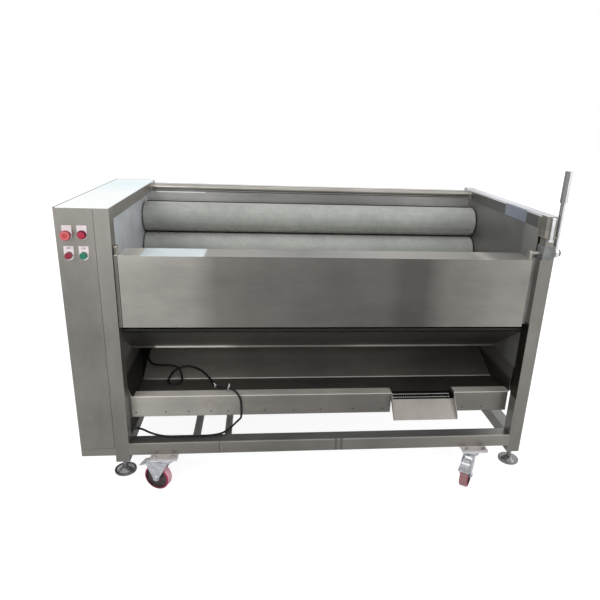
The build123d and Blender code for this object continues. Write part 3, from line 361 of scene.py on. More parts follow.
# Stage
FLOOR_SIZE = 60.0
FLOOR_Z = -0.0002
ROOM = ((0.95, 0.97, 1.0), 0.8)
BACKDROP = ((1.0, 1.0, 1.0), 1.0)
LAMPS = (("key_lamp", (-2.2, -3.0, 3.4), (0, 0, 0.6), 2.2, 60),
         ("fill_lamp", (3.0, -1.6, 2.4), (0, 0, 0.6), 2.0, 28),
         ("back_lamp", (0.4, 3.0, 3.0), (0, 0, 0.7), 2.4, 14))


def add_stage():
    bpy.ops.mesh.primitive_plane_add(size=FLOOR_SIZE, location=(0, 0, FLOOR_Z))
    floor = bpy.context.object
    floor.name = "floor"
    bpy.ops.object.transform_apply(location=True)
    floor.data.materials.append(white_stage("floor_paint"))


def add_world():
    """A soft room for the diffuse light, and a white backdrop for what is seen or mirrored."""
    world = bpy.data.worlds.new("soft_room")
    bpy.context.scene.world = world
    world.use_nodes = True
    nodes, links = world.node_tree.nodes, world.node_tree.links
    nodes.clear()
    path = nodes.new("ShaderNodeLightPath")
    shown = path.outputs["Is Camera Ray"]
    for ray in ("Is Glossy Ray", "Is Transmission Ray"):
        either = nodes.new("ShaderNodeMath")
        either.operation = "MAXIMUM"
        links.new(shown, either.inputs[0])
        links.new(path.outputs[ray], either.inputs[1])
        shown = either.outputs[0]
    mixed = nodes.new("ShaderNodeMixShader")
    links.new(shown, mixed.inputs[0])
    for slot, (colour, strength) in enumerate((ROOM, BACKDROP), 1):
        light = nodes.new("ShaderNodeBackground")
        light.inputs["Color"].default_value = (*colour, 1.0)
        light.inputs["Strength"].default_value = strength
        links.new(light.outputs[0], mixed.inputs[slot])
    output = nodes.new("ShaderNodeOutputWorld")
    links.new(mixed.outputs[0], output.inputs["Surface"])


def add_lamp(name, at, aim, size, power):
    bpy.ops.object.light_add(type="AREA", location=at)
    lamp = bpy.context.object
    lamp.name = name
    lamp.rotation_euler = (Vector(aim) - Vector(at)).to_track_quat("-Z", "Y").to_euler()
    lamp.data.shape = "DISK"
    lamp.data.size = size
    lamp.data.energy = power


# Modelling helpers
NEAR = 0.1 * MILLIMETRE


def smooth_by_angle(degrees):
    bpy.ops.object.shade_smooth_by_angle(angle=math.radians(degrees))


def deselect():
    bpy.ops.object.select_all(action="DESELECT")


def started(name):
    """The primitive just added, alone in the selection, under its own name."""
    piece = bpy.context.object
    piece.name = name
    piece.data.name = name
    return piece


def pick(piece, wanted, kind="FACE"):
    """In edit mode, select the faces, edges or vertices whose middle passes a test."""
    bpy.ops.mesh.select_mode(type=kind)
    bpy.ops.mesh.select_all(action="DESELECT")
    bpy.ops.object.mode_set(mode="OBJECT")
    mesh = piece.data
    if kind == "FACE":
        for face in mesh.polygons:
            face.select = wanted(face.center)
    elif kind == "EDGE":
        for edge in mesh.edges:
            first, second = (mesh.vertices[index].co for index in edge.vertices)
            edge.select = wanted(first, second)
    else:
        for vertex in mesh.vertices:
            vertex.select = wanted(vertex.co)
    bpy.ops.object.mode_set(mode="EDIT")


def copy_of(piece, name, matrix):
    """A copy with its own mesh, moved by a matrix."""
    other = piece.copy()
    other.data = piece.data.copy()
    other.name = name
    other.data.name = name
    other.data.transform(matrix)
    bpy.context.scene.collection.objects.link(other)
    return other


# Power cord: the feed's route, the coil's turns and the tail, as one smooth line
CORD_ROUTE = [
    (165, 75, 235), (200, 75, 235), (240, 55, 224), (288, 38, 219.6), (342, 34, 219.6), (400, 33, 219.6),
    (455, 34, 219.6), (505, 44, 219.8), (528, 64, 220), (548, 90, 223), (568, 94, 243), (580, 74, 266),
    (586, 50, 288), (588, 45, 320), (586, 52, 354), (578, 49, 384), (554, 66, 403), (524, 84, 396),
    (498, 98, 391.5), (478, 130, 383), (471, 175, 367.5), (452, 226, 368.5), (420, 262, 382),
    (382, 283, 390.5), (342, 287, 392), (308, 266, 384), (291, 228, 369), (290, 188, 366.6),
    (317, 171.5, 366.6), (344.5, 187, 366.6), (345, 222, 368), (334, 248, 392), (318, 262, 403),
    (284, 270, 405), (246, 280, 399), (212, 296, 398), (190, 330, 410), (190, 376, 430), (208, 424, 449),
]
CORD_RADIUS = 4.0
CORD_STEPS = 6
CORD_BEVEL = 4
TRAY_FLOOR = 362.0
TRAY_BEND = 230.0
TRAY_SLOPE = math.atan2(212.0, 505.0)
COIL_CENTRE = (262.0, (520.0 - TRAY_BEND) / math.cos(TRAY_SLOPE))
COIL_RADIUS = 42.0
COIL_TURNS = 5
COIL_RISE = 9.0
COIL_REST = 4.4
TURN_POINTS = 12
COIL_LEAD = 8.0
TAIL_ROUTE = [(0, 34, 0), (28, 64, -8), (68, 76, -20), (108, 72, -28.2), (146, 66, -28.2)]


def on_slope(x, along, up):
    """A place on the tray's slope: along it from its bend, and up at right angles to it."""
    y = TRAY_BEND + along * math.cos(TRAY_SLOPE) - up * math.sin(TRAY_SLOPE)
    z = TRAY_FLOOR + along * math.sin(TRAY_SLOPE) + up * math.cos(TRAY_SLOPE)
    return (x, y, z)


def cord_points():
    points = list(CORD_ROUTE)
    start_x = COIL_CENTRE[0] - COIL_RADIUS
    points.append(on_slope(start_x, COIL_CENTRE[1] - COIL_LEAD - COIL_RADIUS, COIL_REST))
    points.append(on_slope(start_x, COIL_CENTRE[1] - COIL_LEAD, COIL_REST))
    reach = COIL_RADIUS / math.cos(math.pi / TURN_POINTS)
    for step in range(COIL_TURNS * TURN_POINTS):
        turn = (step + 0.5) / TURN_POINTS
        angle = math.pi - 2 * math.pi * turn
        points.append(on_slope(COIL_CENTRE[0] + reach * math.cos(angle),
                               COIL_CENTRE[1] + reach * math.sin(angle), COIL_REST + turn * COIL_RISE))
    top = COIL_REST + COIL_TURNS * COIL_RISE
    points.append(on_slope(start_x, COIL_CENTRE[1] + COIL_LEAD, top))
    for dx, dy, dz in TAIL_ROUTE:
        points.append(on_slope(start_x + dx, COIL_CENTRE[1] + COIL_LEAD + dy, top + dz))
    return points


def add_power_cord(ties):
    curve = bpy.data.curves.new("power_lead", "CURVE")
    curve.dimensions = "3D"
    spline = curve.splines.new("NURBS")
    points = cord_points()
    spline.points.add(len(points) - 1)
    for point, at in zip(spline.points, points):
        point.co = (*place(*at), 1.0)
    spline.order_u = 3
    spline.use_endpoint_u = True
    spline.resolution_u = CORD_STEPS
    curve.resolution_u = CORD_STEPS
    curve.bevel_depth = CORD_RADIUS * MILLIMETRE
    curve.bevel_resolution = CORD_BEVEL
    curve.use_fill_caps = True
    lead = bpy.data.objects.new("power_lead", curve)
    bpy.context.scene.collection.objects.link(lead)
    curve.materials.append(moulded("black_rubber", (0.008, 0.008, 0.008), (0.016, 0.016, 0.016), 0.55, 0.0,
                                   gloss=0.2))
    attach(lead, "machine_frame")
    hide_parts("power_cord", "cord_coil")
    place(165, 75, 235)


# Brush rollers
ROLLERS = 7
ARC = (400.6, 903.3, 270.0)
ARC_START = 9.35
ARC_STEP = 28.9
ROLLER_LEFT = 148.0
ROLLER_LENGTH = 1500.0
PILE_FLOOR = 62.4
TUFT_RISE = 2.4
TUFTS_AROUND = 102
TUFT_CUTS = (14, 24)
SHAFT_SHARE = 15.3 / PILE_FLOOR


def roller_centre(number):
    angle = math.radians(ARC_START - ARC_STEP * (number - 1))
    return ARC[0] + ARC[2] * math.cos(angle), ARC[1] + ARC[2] * math.sin(angle)


def add_brush_rollers(paint):
    """One pile, modelled along Z, then laid along X once for each roller."""
    deselect()
    bpy.ops.mesh.primitive_cylinder_add(vertices=TUFTS_AROUND, radius=PILE_FLOOR * MILLIMETRE,
                                        depth=ROLLER_LENGTH * MILLIMETRE, end_fill_type="NOTHING")
    pile = started("pile")
    rows = 1
    bpy.ops.object.mode_set(mode="EDIT")
    for cuts in TUFT_CUTS:
        pick(pile, lambda first, second: abs(first.z - second.z) > MILLIMETRE, "EDGE")
        bpy.ops.mesh.subdivide(number_cuts=cuts)
        rows *= cuts + 1
    row_height = ROLLER_LENGTH * MILLIMETRE / rows
    half = ROLLER_LENGTH * MILLIMETRE / 2

    def raised(at):
        around = round(math.atan2(at.y, at.x) / (2 * math.pi) * TUFTS_AROUND)
        row = round((at.z + half) / row_height)
        return (around + row) % 2 == 0 and 0 < row < rows

    pick(pile, raised, "VERT")
    bpy.ops.transform.shrink_fatten(value=TUFT_RISE * MILLIMETRE)
    pick(pile, lambda first, second: abs(abs(first.z) - half) + abs(abs(second.z) - half) < row_height / 2,
         "EDGE")
    bpy.ops.mesh.extrude_region_move()
    bpy.ops.transform.resize(value=(SHAFT_SHARE, SHAFT_SHARE, 1), center_override=(0, 0, 0))
    bpy.ops.mesh.select_all(action="SELECT")
    bpy.ops.mesh.normals_make_consistent(inside=False)
    bpy.ops.object.mode_set(mode="OBJECT")
    smooth_by_angle(60)
    tips = pile.data.attributes.new("tip", "FLOAT", "POINT")
    raised_radius = (PILE_FLOOR + TUFT_RISE / 2) * MILLIMETRE
    for vertex, mark in zip(pile.data.vertices, tips.data):
        mark.value = 1.0 if vertex.co.xy.length > raised_radius else 0.0
    pile.data.materials.append(paint)
    lay = Matrix.Rotation(math.pi / 2, 4, "Y")
    for number in range(1, ROLLERS + 1):
        middle = place(ROLLER_LEFT + ROLLER_LENGTH / 2, *roller_centre(number))
        turn = Matrix.Rotation(2 * math.pi * number / ROLLERS, 4, "X")
        roller = copy_of(pile, f"nylon_pile_{number}", Matrix.Translation(middle) @ turn @ lay)
        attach(roller, f"roller_{number}")
        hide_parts(f"brush_roller_{number}")
    bpy.data.objects.remove(pile)


# Caster wheels
CASTER_NAMES = ("front_left", "front_right", "rear_left", "rear_right")
CASTER_CENTRES = ((300, 14), (1506, 14), (300, 786), (1506, 786))
CASTER_TRAILS = (158.0, 236.0, 35.0, 120.0)
TRAIL = 36.0
WHEEL_RADIUS = 51.0
WHEEL_WIDTH = 32.0
WHEEL_SIDES = 64
TREAD_DEPTH = 4.5
RING_WIDTH = 2.0
WEB_SETBACK = 8.0
HUB_RADIUS = 14.0
HUB_RISE = 8.5
BORE_RADIUS = 5.2
TREAD_ROUND = 4.0


def end_faces(half):
    """A test for the round end faces of a wheel that is modelled along Z."""
    return lambda at: abs(abs(at.z) - half) < NEAR and at.xy.length < MILLIMETRE


def add_caster_wheels(tread, tread_in_painted_shade, ring, core, steel):
    deselect()
    bpy.ops.mesh.primitive_cylinder_add(vertices=WHEEL_SIDES, radius=WHEEL_RADIUS * MILLIMETRE,
                                        depth=WHEEL_WIDTH * MILLIMETRE)
    wheel = started("wheel")
    for paint in (tread, ring, core, steel):
        wheel.data.materials.append(paint)
    bpy.ops.object.mode_set(mode="EDIT")
    half = WHEEL_WIDTH / 2 * MILLIMETRE
    pick(wheel, end_faces(half))
    bpy.ops.mesh.inset(thickness=TREAD_DEPTH * MILLIMETRE)
    bpy.ops.mesh.inset(thickness=RING_WIDTH * MILLIMETRE)
    bpy.ops.mesh.extrude_region_shrink_fatten(TRANSFORM_OT_shrink_fatten={"value": -WEB_SETBACK * MILLIMETRE})
    web = WHEEL_RADIUS - TREAD_DEPTH - RING_WIDTH
    bpy.ops.mesh.inset(thickness=(web - HUB_RADIUS) * MILLIMETRE)
    bpy.ops.mesh.extrude_region_shrink_fatten(TRANSFORM_OT_shrink_fatten={"value": HUB_RISE * MILLIMETRE})
    bpy.ops.mesh.inset(thickness=(HUB_RADIUS - BORE_RADIUS) * MILLIMETRE)

    def rim(first, second):
        outside = WHEEL_RADIUS * MILLIMETRE - NEAR
        return min(first.xy.length, second.xy.length) > outside and abs(first.z - second.z) < NEAR

    pick(wheel, rim, "EDGE")
    bpy.ops.mesh.bevel(offset=TREAD_ROUND * MILLIMETRE, segments=4, affect="EDGES")
    bpy.ops.object.mode_set(mode="OBJECT")
    limits = [(web, 1), (HUB_RADIUS, 2), (0, 3)]
    for face in wheel.data.polygons:
        face.material_index = next(slot for limit, slot in limits
                                   if face.center.xy.length >= (limit - 0.05) * MILLIMETRE)
        if abs(face.normal.z) < 0.5 and face.center.xy.length > (WHEEL_RADIUS - TREAD_ROUND) * MILLIMETRE:
            face.material_index = 0
    smooth_by_angle(40)
    for name, (x, y), trail, number in zip(CASTER_NAMES, CASTER_CENTRES, CASTER_TRAILS, range(1, 5)):
        angle = math.radians(trail)
        axle = place(x + TRAIL * math.cos(angle), y + TRAIL * math.sin(angle), WHEEL_RADIUS)
        upright = Matrix.Rotation(math.pi / 2, 4, "X")
        stand = Matrix.Translation(axle) @ Matrix.Rotation(angle, 4, "Z") @ upright
        piece = copy_of(wheel, "tread_wheel_" + name, stand)
        # The front right wheel gets the same tread in painted shade, darker as it faces away from the light.
        if name == "front_right":
            piece.data.materials[0] = tread_in_painted_shade
        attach(piece, "wheel_" + name)
        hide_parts(f"caster_wheel_{number}")
    bpy.data.objects.remove(wheel)


# Small pieces on the machine. A tie stands between two points of the cord's route, leaning by some degrees.
# A part of the latch is its name, radius, lowest and highest place. A word is its letters and its middle.
RIVET_PLACES = (15, 125, 210, 294, 358, 498, 611, 714, 842, 959)
RIVET_RIGHT_PLACES = (40, 118)
APRON_LEFT = 178.0
CHUTE_RIGHT = 1424.0
APRON_FACE = 60.0
RIVET_Z = 311.0
RIVET_RADIUS = 3.0
RIVET_RISE = 1.2
GLAND_END = CORD_ROUTE[0]
RELIEF_LENGTH = 34.0
RELIEF_INSET = 4.0
RELIEF_RADII = (8.6, 5.0)
RELIEF_RIBS = 7
RIB_RINGS = 4
RIB_DEPTH = 0.8
TIES = ((19, 18, 25), (17, 16, -30))
TIE_RADIUS = 4.9
TIE_THICKNESS = 0.7
TIE_FLATTEN = 1.9
TIE_HEAD_OUT = 6.6
TIE_HEAD_SIZE = (4.4, 3.4, 4.0)
TIE_TAIL_INSET = 0.8
TIE_TAIL = 9.0
LATCH_PLACE = (1672.0, -6.0)
LATCH_PARTS = (("rod", 6.0, 1004.0, 1084.0), ("collar", 9.5, 1002.0, 1009.0), ("cap", 7.5, 1080.0, 1088.0))
LATCH_EDGE = 1.2
LEGEND_FACE = -0.9
WORDS = (("OFF", 36.0, 958.0), ("ON", 83.0, 958.0))
WORD_HEIGHT = 8.5
WORD_DEPTH = 0.15


def finished(piece, paint):
    """Give a new piece its one material and its slot, and let it ride on the frame."""
    piece.data.materials.clear()
    piece.data.materials.append(paint)
    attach(piece, "machine_frame")


def settled():
    """Write the active object's place, turn and scale into its mesh."""
    bpy.ops.object.transform_apply(location=True, rotation=True, scale=True)


def joined(pieces, name):
    """Several meshes made one."""
    deselect()
    for piece in pieces:
        piece.select_set(True)
    bpy.context.view_layer.objects.active = pieces[0]
    bpy.ops.object.join()
    return started(name)


def add_rivets(paint):
    """Domed rivet heads along the apron's lower edge."""
    deselect()
    bpy.ops.mesh.primitive_uv_sphere_add(segments=16, ring_count=8, radius=RIVET_RADIUS * MILLIMETRE)
    head = started("rivet")
    head.scale = (1, RIVET_RISE / RIVET_RADIUS, 1)
    settled()
    bpy.ops.object.shade_smooth()
    rows = ((APRON_LEFT, RIVET_PLACES), (CHUTE_RIGHT, RIVET_RIGHT_PLACES))
    spots = [start + along for start, places in rows for along in places]
    heads = [copy_of(head, f"rivet_{number}", Matrix.Translation(place(x, APRON_FACE, RIVET_Z)))
             for number, x in enumerate(spots)]
    bpy.data.objects.remove(head)
    finished(joined(heads, "apron_rivets"), paint)


def add_strain_relief(paint):
    """Ribbed nose that tapers from the gland to the lead."""
    deselect()
    bpy.ops.mesh.primitive_cylinder_add(vertices=32, radius=MILLIMETRE, depth=RELIEF_LENGTH * MILLIMETRE,
                                        rotation=(0, math.pi / 2, 0))
    nose = started("strain_relief")
    settled()
    bpy.ops.object.mode_set(mode="EDIT")
    pick(nose, lambda first, second: abs(first.x - second.x) > MILLIMETRE, "EDGE")
    rings = RIB_RINGS * RELIEF_RIBS
    bpy.ops.mesh.subdivide(number_cuts=rings - 1)
    half = RELIEF_LENGTH / 2 * MILLIMETRE
    step = 2 * half / rings
    for ring in range(rings + 1):
        at = -half + ring * step
        share = ring / rings
        groove = RIB_DEPTH if ring % RIB_RINGS >= RIB_RINGS / 2 else 0
        radius = RELIEF_RADII[0] * (1 - share) + RELIEF_RADII[1] * share - groove
        pick(nose, lambda spot: abs(spot.x - at) < step / 4, "VERT")
        bpy.ops.transform.resize(value=(1, radius, radius), center_override=(at, 0, 0))
    bpy.ops.object.mode_set(mode="OBJECT")
    smooth_by_angle(35)
    x, y, z = GLAND_END
    nose.data.transform(Matrix.Translation(place(x + RELIEF_LENGTH / 2 - RELIEF_INSET, y, z)))
    finished(nose, paint)


def add_cable_ties(paint):
    """Two pale cable ties on the lead, each with its head and a cut tail that stands up."""
    ties = []
    for number, (before, after, lean) in enumerate(TIES, 1):
        deselect()
        bpy.ops.mesh.primitive_torus_add(major_segments=28, minor_segments=8,
                                         major_radius=TIE_RADIUS * MILLIMETRE,
                                         minor_radius=TIE_THICKNESS * MILLIMETRE)
        band = started("tie_band")
        band.scale = (1, 1, TIE_FLATTEN)
        settled()
        bpy.ops.object.shade_smooth()
        deselect()
        bpy.ops.mesh.primitive_cube_add(size=MILLIMETRE, location=(0, TIE_HEAD_OUT * MILLIMETRE, 0))
        tail = started("tie_tail")
        tail.scale = TIE_HEAD_SIZE
        settled()
        bpy.ops.object.mode_set(mode="EDIT")
        pick(tail, lambda at: at.y > (TIE_HEAD_OUT + 1) * MILLIMETRE)
        bpy.ops.mesh.inset(thickness=TIE_TAIL_INSET * MILLIMETRE)
        bpy.ops.mesh.extrude_region_move(TRANSFORM_OT_translate={"value": (0, TIE_TAIL * MILLIMETRE, 0)})
        bpy.ops.object.mode_set(mode="OBJECT")
        tie = joined([band, tail], f"cable_tie_{number}")
        first, second = place(*CORD_ROUTE[before]), place(*CORD_ROUTE[after])
        line = (second - first).normalized()
        side = Vector((0, 0, 1)).cross(line).normalized()
        turned = Matrix((side, line.cross(side), line)).transposed().to_4x4()
        spun = Matrix.Rotation(math.radians(lean), 4, "Z")
        tie.data.transform(Matrix.Translation((first + second) / 2) @ turned @ spun)
        finished(tie, paint)
        ties.append(tie)
    return ties


def add_latch(paint):
    """Round latch rod with its collar, upright on the right post's face."""
    pieces = []
    for name, radius, low, high in LATCH_PARTS:
        deselect()
        bpy.ops.mesh.primitive_cylinder_add(vertices=28, radius=radius * MILLIMETRE,
                                            depth=(high - low) * MILLIMETRE,
                                            location=place(*LATCH_PLACE, (low + high) / 2))
        part = started(name)
        settled()
        bpy.ops.object.mode_set(mode="EDIT")
        pick(part, lambda first, second: abs(first.z - second.z) < NEAR, "EDGE")
        bpy.ops.mesh.bevel(offset=LATCH_EDGE * MILLIMETRE, segments=2, affect="EDGES")
        bpy.ops.object.mode_set(mode="OBJECT")
        smooth_by_angle(35)
        pieces.append(part)
    finished(joined(pieces, "latch_rod"), paint)


def add_words(ink):
    """ON and OFF over the two lower buttons."""
    for word, x, z in WORDS:
        deselect()
        bpy.ops.object.text_add(rotation=(math.pi / 2, 0, 0), location=place(x, LEGEND_FACE, z))
        letters = started("word_" + word.lower())
        letters.data.body = word
        letters.data.size = WORD_HEIGHT * MILLIMETRE
        letters.data.align_x = "CENTER"
        letters.data.align_y = "CENTER"
        letters.data.extrude = WORD_DEPTH * MILLIMETRE
        bpy.ops.object.convert(target="MESH")
        settled()
        finished(bpy.context.object, ink)


# Finishes of the carried-over nodes
def paint_node(node, material):
    for slot in range(len(NODES[node].data.materials)):
        NODES[node].data.materials[slot] = material
    if not NODES[node].data.materials:
        NODES[node].data.materials.append(material)


# Tones along the sheets: painted reflections, painted light and painted shade, which go with the metal.
# A sweep is an axis and its stops. A zone is a box, its colour or sweep, and maybe how matt it is there.
# Painted reflection: a pale bluish band along the gate's ledge, bright at the left and darker in the middle.
LEDGE_PAINTED_REFLECTION = ({"Z": (934, 936)}, ("X", [
    (187, 0.5), (256, 0.5), (262, (0.58, 0.70, 0.80)), (465, (0.62, 0.72, 0.82)), (472, 0.24), (800, 0.08),
    (1100, 0.18), (1420, 0.26), (1460, 0.5), (1500, 0.3), (1622, 0.32)]))
# Painted reflections and painted light on the gate: brighter at both ends and towards the top.
GATE_PAINTED_REFLECTIONS = [
    ("X", [(165, 0.5), (184, 0.55), (188, 1.36), (420, 1.2), (510, 0.68), (620, 0.54), (1100, 0.49),
           (1160, 0.36), (1240, 0.36), (1330, 0.76), (1420, 0.86), (1622, 1.16)]),
    ("Z", [(680, 1.0), (860, 1.02), (925, 1.2), (935, 1.2)])]
# Painted reflections along the back panel: brighter at both ends.
PANEL_PAINTED_REFLECTIONS = ("X", [(187, 1.36), (430, 1.25), (620, 0.8), (1100, 0.75), (1300, 0.95), (1622, 1.3)])
# Painted shadow: a dark line where the panel meets the top roller. Painted highlight: a white band on the
# panel's top hem at the left.
PANEL_SHADOW_AND_HIGHLIGHT = [
    ({"Z": (999, 1005.5)}, (0.08, 0.078, 0.072)),
    ({"Z": (1043.5, 1050), "X": (189, 405)}, (0.95, 0.95, 0.95), 0.6)]
# Painted light on the posts: darker low down, brighter towards the top.
POST_PAINTED_LIGHT = ("Z", [(100, 0.8), (640, 0.88), (860, 1.0), (1091, 1.27)])
# Painted shade: a dark strip in the recess beside the right post.
POST_PAINTED_SHADE = [({"X": (1648, 1651.5), "Z": (375, 690)}, (0.045, 0.042, 0.032))]
# Painted light on the cabinet: darker in the middle, brighter towards the top.
CABINET_PAINTED_LIGHT = ("Z", [(100, 0.95), (640, 0.82), (860, 0.92), (1091, 1.25)])
# Painted reflections along the rails: brighter at both ends.
RAIL_PAINTED_REFLECTIONS = ("X", [(30, 1.1), (187, 1.2), (430, 1.15), (620, 0.97), (1100, 0.92), (1650, 1.2)])
FRONT_RAIL = {"Y": (-1, 1.5), "Z": (165, 215.5)}
RIGHT_RAIL = {"X": (1640, 1652)}
# Painted light and shade on the rails: painted highlights on the top edges and top faces, dark and light
# streaks on the front rail, a pale matt band below it, painted shade on the right rail's inner face, a
# painted highlight on its top and a bluish painted reflection strip.
RAIL_PAINTED_LIGHT_AND_SHADE = [
    ({"Y": (3, 760), "Z": (214.4, 215.6)}, (0.21, 0.21, 0.20)),
    ({"Y": (-1, 5), "Z": (211.5, 215.6), "X": (190, 1650)}, (0.42, 0.40, 0.37)),
    ({**FRONT_RAIL, "X": (505.2, 508.2)}, (0.07, 0.06, 0.055)),
    ({**FRONT_RAIL, "X": (508.2, 512)}, (0.36, 0.34, 0.32)),
    ({**FRONT_RAIL, "X": (946, 956)}, (0.15, 0.14, 0.12)),
    ({**FRONT_RAIL, "X": (966, 977)}, (0.15, 0.14, 0.12)),
    ({"X": (1600, 1700), "Z": (1090.5, 1092)}, (0.62, 0.63, 0.66)),
    ({"Z": (1048, 1092), "Y": (700, 800)}, (0.5, 0.49, 0.47)),
    ({"Z": (130, 165.4)}, (0.62, 0.57, 0.56), 0.5),
    ({**RIGHT_RAIL, "Z": (1042, 1090), "Y": (60, 700)}, (0.17, 0.17, 0.17)),
    ({**RIGHT_RAIL, "Z": (1083, 1092), "Y": (40, 760)}, (0.8, 0.8, 0.82), 0.5),
    ({**RIGHT_RAIL, "Z": (1042, 1088), "Y": (150, 330)}, (0.36, 0.39, 0.48))]
# Painted light and shade in the tray: the slope and apron brighter at the left, the floor in painted shade
# under the hopper, painted highlights on the bend line and the apron's rim, and side walls dark low down and
# lit higher up.
TRAY_PAINTED_LIGHT_AND_SHADE = [
    ({"Y": (232, 800)}, ("X", [
        (187, 0.56), (430, 0.50), (620, 0.42), (1100, 0.36), (1400, 0.28), (1622, 0.28)])),
    ({"Y": (63, 230), "Z": (355, 368)}, ("X", [
        (187, 0.26), (700, 0.21), (1150, 0.17), (1300, 0.12), (1622, 0.13)])),
    ({"Y": (226, 233), "Z": (360, 365)}, ("X", [(187, 0.3), (270, 0.75), (900, 0.7), (1622, 0.5)]), 0.75),
    ({"Y": (55, 63)}, ("X", [
        (178, 0.46), (430, 0.40), (620, 0.24), (1100, 0.17), (1400, 0.19), (1650, 0.19)])),
    ({"Y": (55, 103), "Z": (374.5, 379)}, ("X", [
        (178, 0.8), (430, 0.78), (620, 0.6), (1100, 0.5), (1650, 0.55)]), 0.55),
    ({"X": (140, 188.5), "Y": (63, 735)}, ("Z", [(362, 0.05), (440, 0.06), (452, 0.26), (480, 0.3)])),
    ({"X": (1646, 1675), "Y": (63, 735)}, ("Z", [(362, 0.06), (420, 0.08), (440, 0.24), (490, 0.26)]))]
# Painted reflections along the hopper wall: brighter at the left.
HOPPER_PAINTED_REFLECTIONS = ("X", [(187, 1.1), (700, 0.9), (1622, 0.62)])
# Painted shade along the hopper's upper edge and under the gate, and a painted highlight on its lip.
HOPPER_PAINTED_LIGHT_AND_SHADE = [
    ({"Z": (495, 520)}, ("X", [(187, 0.2), (700, 0.19), (1622, 0.15)])),
    ({"Z": (484, 495)}, ("X", [
        (187, 0.1), (232, 0.12), (240, 0.7), (520, 0.6), (580, 0.26), (980, 0.2), (1080, 0.34), (1300, 0.22),
        (1622, 0.16)]), 0.35),
    ({"Z": (636, 665)}, (0.03, 0.029, 0.026))]
# Painted light on the left end plate: brighter towards the top.
LEFT_PLATE_PAINTED_LIGHT = ("Z", [(700, 0.8), (900, 0.86), (1000, 1.04), (1091, 1.1)])
# Painted shade on the left end plate's lower part and painted light above it.
LEFT_PLATE_LIGHT_AND_SHADE = [
    ({"Z": (100, 800)}, ("Z", [
        (360, (0.2, 0.19, 0.18)), (680, (0.2, 0.19, 0.18)), (700, (0.42, 0.43, 0.44)),
        (800, (0.62, 0.64, 0.67))]))]
# Painted light on the right end plate: brighter towards the open front.
RIGHT_PLATE_PAINTED_LIGHT = ("Y", [(50, 1.5), (140, 1.35), (170, 0.9), (400, 0.95), (750, 1.0)])
# Painted shade: a dark band on the chute under the apron.
CHUTE_PAINTED_SHADE = [({"Y": (61, 110), "Z": (344, 366)}, (0.02, 0.019, 0.016))]
# Painted reflection on the lid: a faint cyan tint towards the back.
LID_PAINTED_REFLECTION = ("Y", [(0, 1.0), (350, (0.97, 1.0, 1.0)), (640, (0.84, 0.96, 1.0)), (800, (0.9, 0.98, 1.0))])
# Painted shade: dark bands along the lid's left and back edges, the shadow of the gap there.
LID_PAINTED_EDGE_SHADE = [({"X": (-2, 6)}, (0.1, 0.1, 0.1)), ({"Y": (788, 803)}, (0.1, 0.1, 0.1))]
# Painted highlight on the lever tube: a grey left half, a dark middle line and a bright right half.
LEVER_PAINTED_HIGHLIGHT = ("X", [(1690, 0.45), (1704, 0.5), (1706, 0.25), (1708, 1.6), (1717, 1.6), (1719, 0.3)])


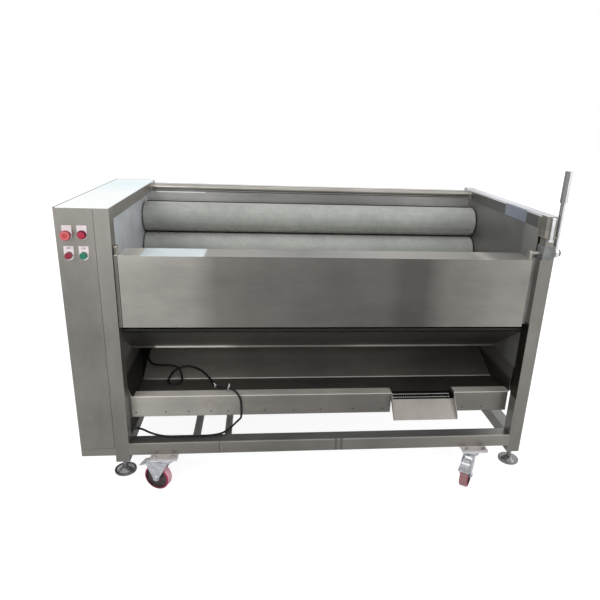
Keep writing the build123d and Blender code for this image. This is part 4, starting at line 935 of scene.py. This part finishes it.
def paint_nodes():
    # The stainless pieces are one steel: their base tones, from the lid at 0.93 and the left end plate at
    # 0.66 down to the hopper at 0.16, are painted light and shade.
    for node, material in {
        "frame_posts": stainless("brushed_posts", 0.27, "Z", tones=[POST_PAINTED_LIGHT], zones=POST_PAINTED_SHADE),
        "frame_rails": stainless("brushed_rails", 0.22, "X", tones=[RAIL_PAINTED_REFLECTIONS], zones=RAIL_PAINTED_LIGHT_AND_SHADE),
        "end_plate_left": stainless("plate_left", 0.66, "X", -0.03, 0.42, metallic=0.3,
                                    tones=[LEFT_PLATE_PAINTED_LIGHT], zones=LEFT_PLATE_LIGHT_AND_SHADE),
        "end_plate_right": stainless("plate_right", 0.26, "X", 0.02, 0.42, tones=[RIGHT_PLATE_PAINTED_LIGHT]),
        "trough_back_panel": stainless("back_sheet", 0.42, "X", 0.02, tones=[PANEL_PAINTED_REFLECTIONS], zones=PANEL_SHADOW_AND_HIGHLIGHT),
        "hopper_front_wall": stainless("hopper_sheet", 0.16, "X", tones=[HOPPER_PAINTED_REFLECTIONS], zones=HOPPER_PAINTED_LIGHT_AND_SHADE),
        "drip_tray": stainless("tray_sheet", 0.3, "X", zones=TRAY_PAINTED_LIGHT_AND_SHADE, stain=0.5),
        "outlet_chute": stainless("chute_sheet", 0.3, "Z", zones=CHUTE_PAINTED_SHADE),
        "spray_pipe": stainless("pipe_steel", 0.4, "X"),
        "cabinet_front_panel": stainless("cabinet_front", 0.26, "Z", tones=[CABINET_PAINTED_LIGHT]),
        "cabinet_side_panel": stainless("cabinet_side", 0.26, "Z", tones=[CABINET_PAINTED_LIGHT]),
        "cabinet_lid": stainless("lid_sheet_painted_bright", 0.93, "Y", 0.0, cloud=0.03, stain=0.05, tones=[LID_PAINTED_REFLECTION],
                                 zones=LID_PAINTED_EDGE_SHADE),
        "outer_covers": stainless("cover_sheets", 0.28, "Z"),
        "discharge_gate": stainless("gate_sheet", 0.25, "X", tones=GATE_PAINTED_REFLECTIONS, zones=[LEDGE_PAINTED_REFLECTION]),
        "gate_lever": stainless("lever_tube", 0.6, "Z", 0.0, 0.25, tones=[LEVER_PAINTED_HIGHLIGHT]),
        "bearing_units": cast("cast_housings", 0.2),
        "gear_motor": cast("motor_paint", 0.16, -0.2, 0.4, 0.0),
        "drive_chains": cast("oiled_chain", 0.06, 0.1, 0.4, 0.8),
        "motor_fan": moulded("fan_plastic", (0.03, 0.03, 0.03), (0.05, 0.05, 0.05)),
        "output_shaft": stainless("turned_shaft", 0.4, "Y", 0.0),
        "caster_plates": zinc("zinc_plates", 0.8, 0.5, 0.45),
        "fasteners": zinc("zinc_bolts", 0.5),
        "button_bezels": chrome_rings(),
        "legend_plates": moulded("legend_sheet", (0.80, 0.70, 0.71), (0.72, 0.64, 0.65), 0.5, 0.2),
        "stop_button": stop_red(),
        "push_button_1": moulded("red_cap", (0.44, 0.006, 0.045), (0.3, 0.004, 0.03), 0.35),
        "push_button_2": moulded("red_cap_low", (0.29, 0.004, 0.028), (0.2, 0.003, 0.02), 0.35),
        "push_button_3": moulded("green_cap", (0.0, 0.17, 0.085), (0.0, 0.11, 0.055), 0.35),
        "cord_gland": moulded("gland_nylon", (0.02, 0.02, 0.02), (0.035, 0.035, 0.035)),
        "power_plug": moulded("plug_shell", (0.015, 0.015, 0.015), (0.03, 0.03, 0.03), 0.3),
    }.items():
        paint_node(node, material)
    turned = stainless("roller_shafts", 0.4, "Y", 0.0)
    plated = zinc("zinc_forks", 0.66, 0.45, 0.7)
    polished = stainless("polished_feet", 0.24, "X", 0.0, 0.16)
    for node in NODES:
        for start, material in (("roller_shaft_", turned), ("caster_fork_", plated), ("brake_pedal_", plated),
                                ("levelling_foot_", polished)):
            if node.startswith(start):
                paint_node(node, material)


bpy.context.scene.view_settings.view_transform = "Standard"
add_camera()
add_power_cord(add_cable_ties(moulded("tie_nylon", (0.75, 0.74, 0.72), (0.6, 0.59, 0.57), 0.4, 0.2)))
add_stage()
add_world()
for lamp_facts in LAMPS:
    add_lamp(*lamp_facts)
add_brush_rollers(nylon_pile("brush_pile"))
add_caster_wheels(moulded("pink_tread", (0.75, 0.38, 0.44), (0.64, 0.3, 0.35), 0.4),
                  # The same pink tread, painted darker for the front right wheel, which stands in shade.
                  moulded("tread_in_painted_shade", (0.34, 0.17, 0.17), (0.26, 0.12, 0.12), 0.5, 0.1),
                  moulded("crimson_ring", (0.36, 0.01, 0.06), (0.26, 0.008, 0.04)),
                  moulded("dark_core", (0.045, 0.028, 0.028), (0.08, 0.05, 0.05), 0.5),
                  zinc("bearing_steel", 0.4))
add_rivets(cast("dark_rivets", 0.05, 0.0, 0.4, 0.7))
add_strain_relief(moulded("relief_rubber", (0.014, 0.014, 0.014), (0.03, 0.03, 0.03), 0.45, 0.15))
add_latch(stainless("latch_steel", 0.8, "Z", 0.0, 0.2, metallic=0.6))
add_words(moulded("label_ink", (0.03, 0.03, 0.035), (0.06, 0.055, 0.06), 0.5, 0.1))
paint_nodes()
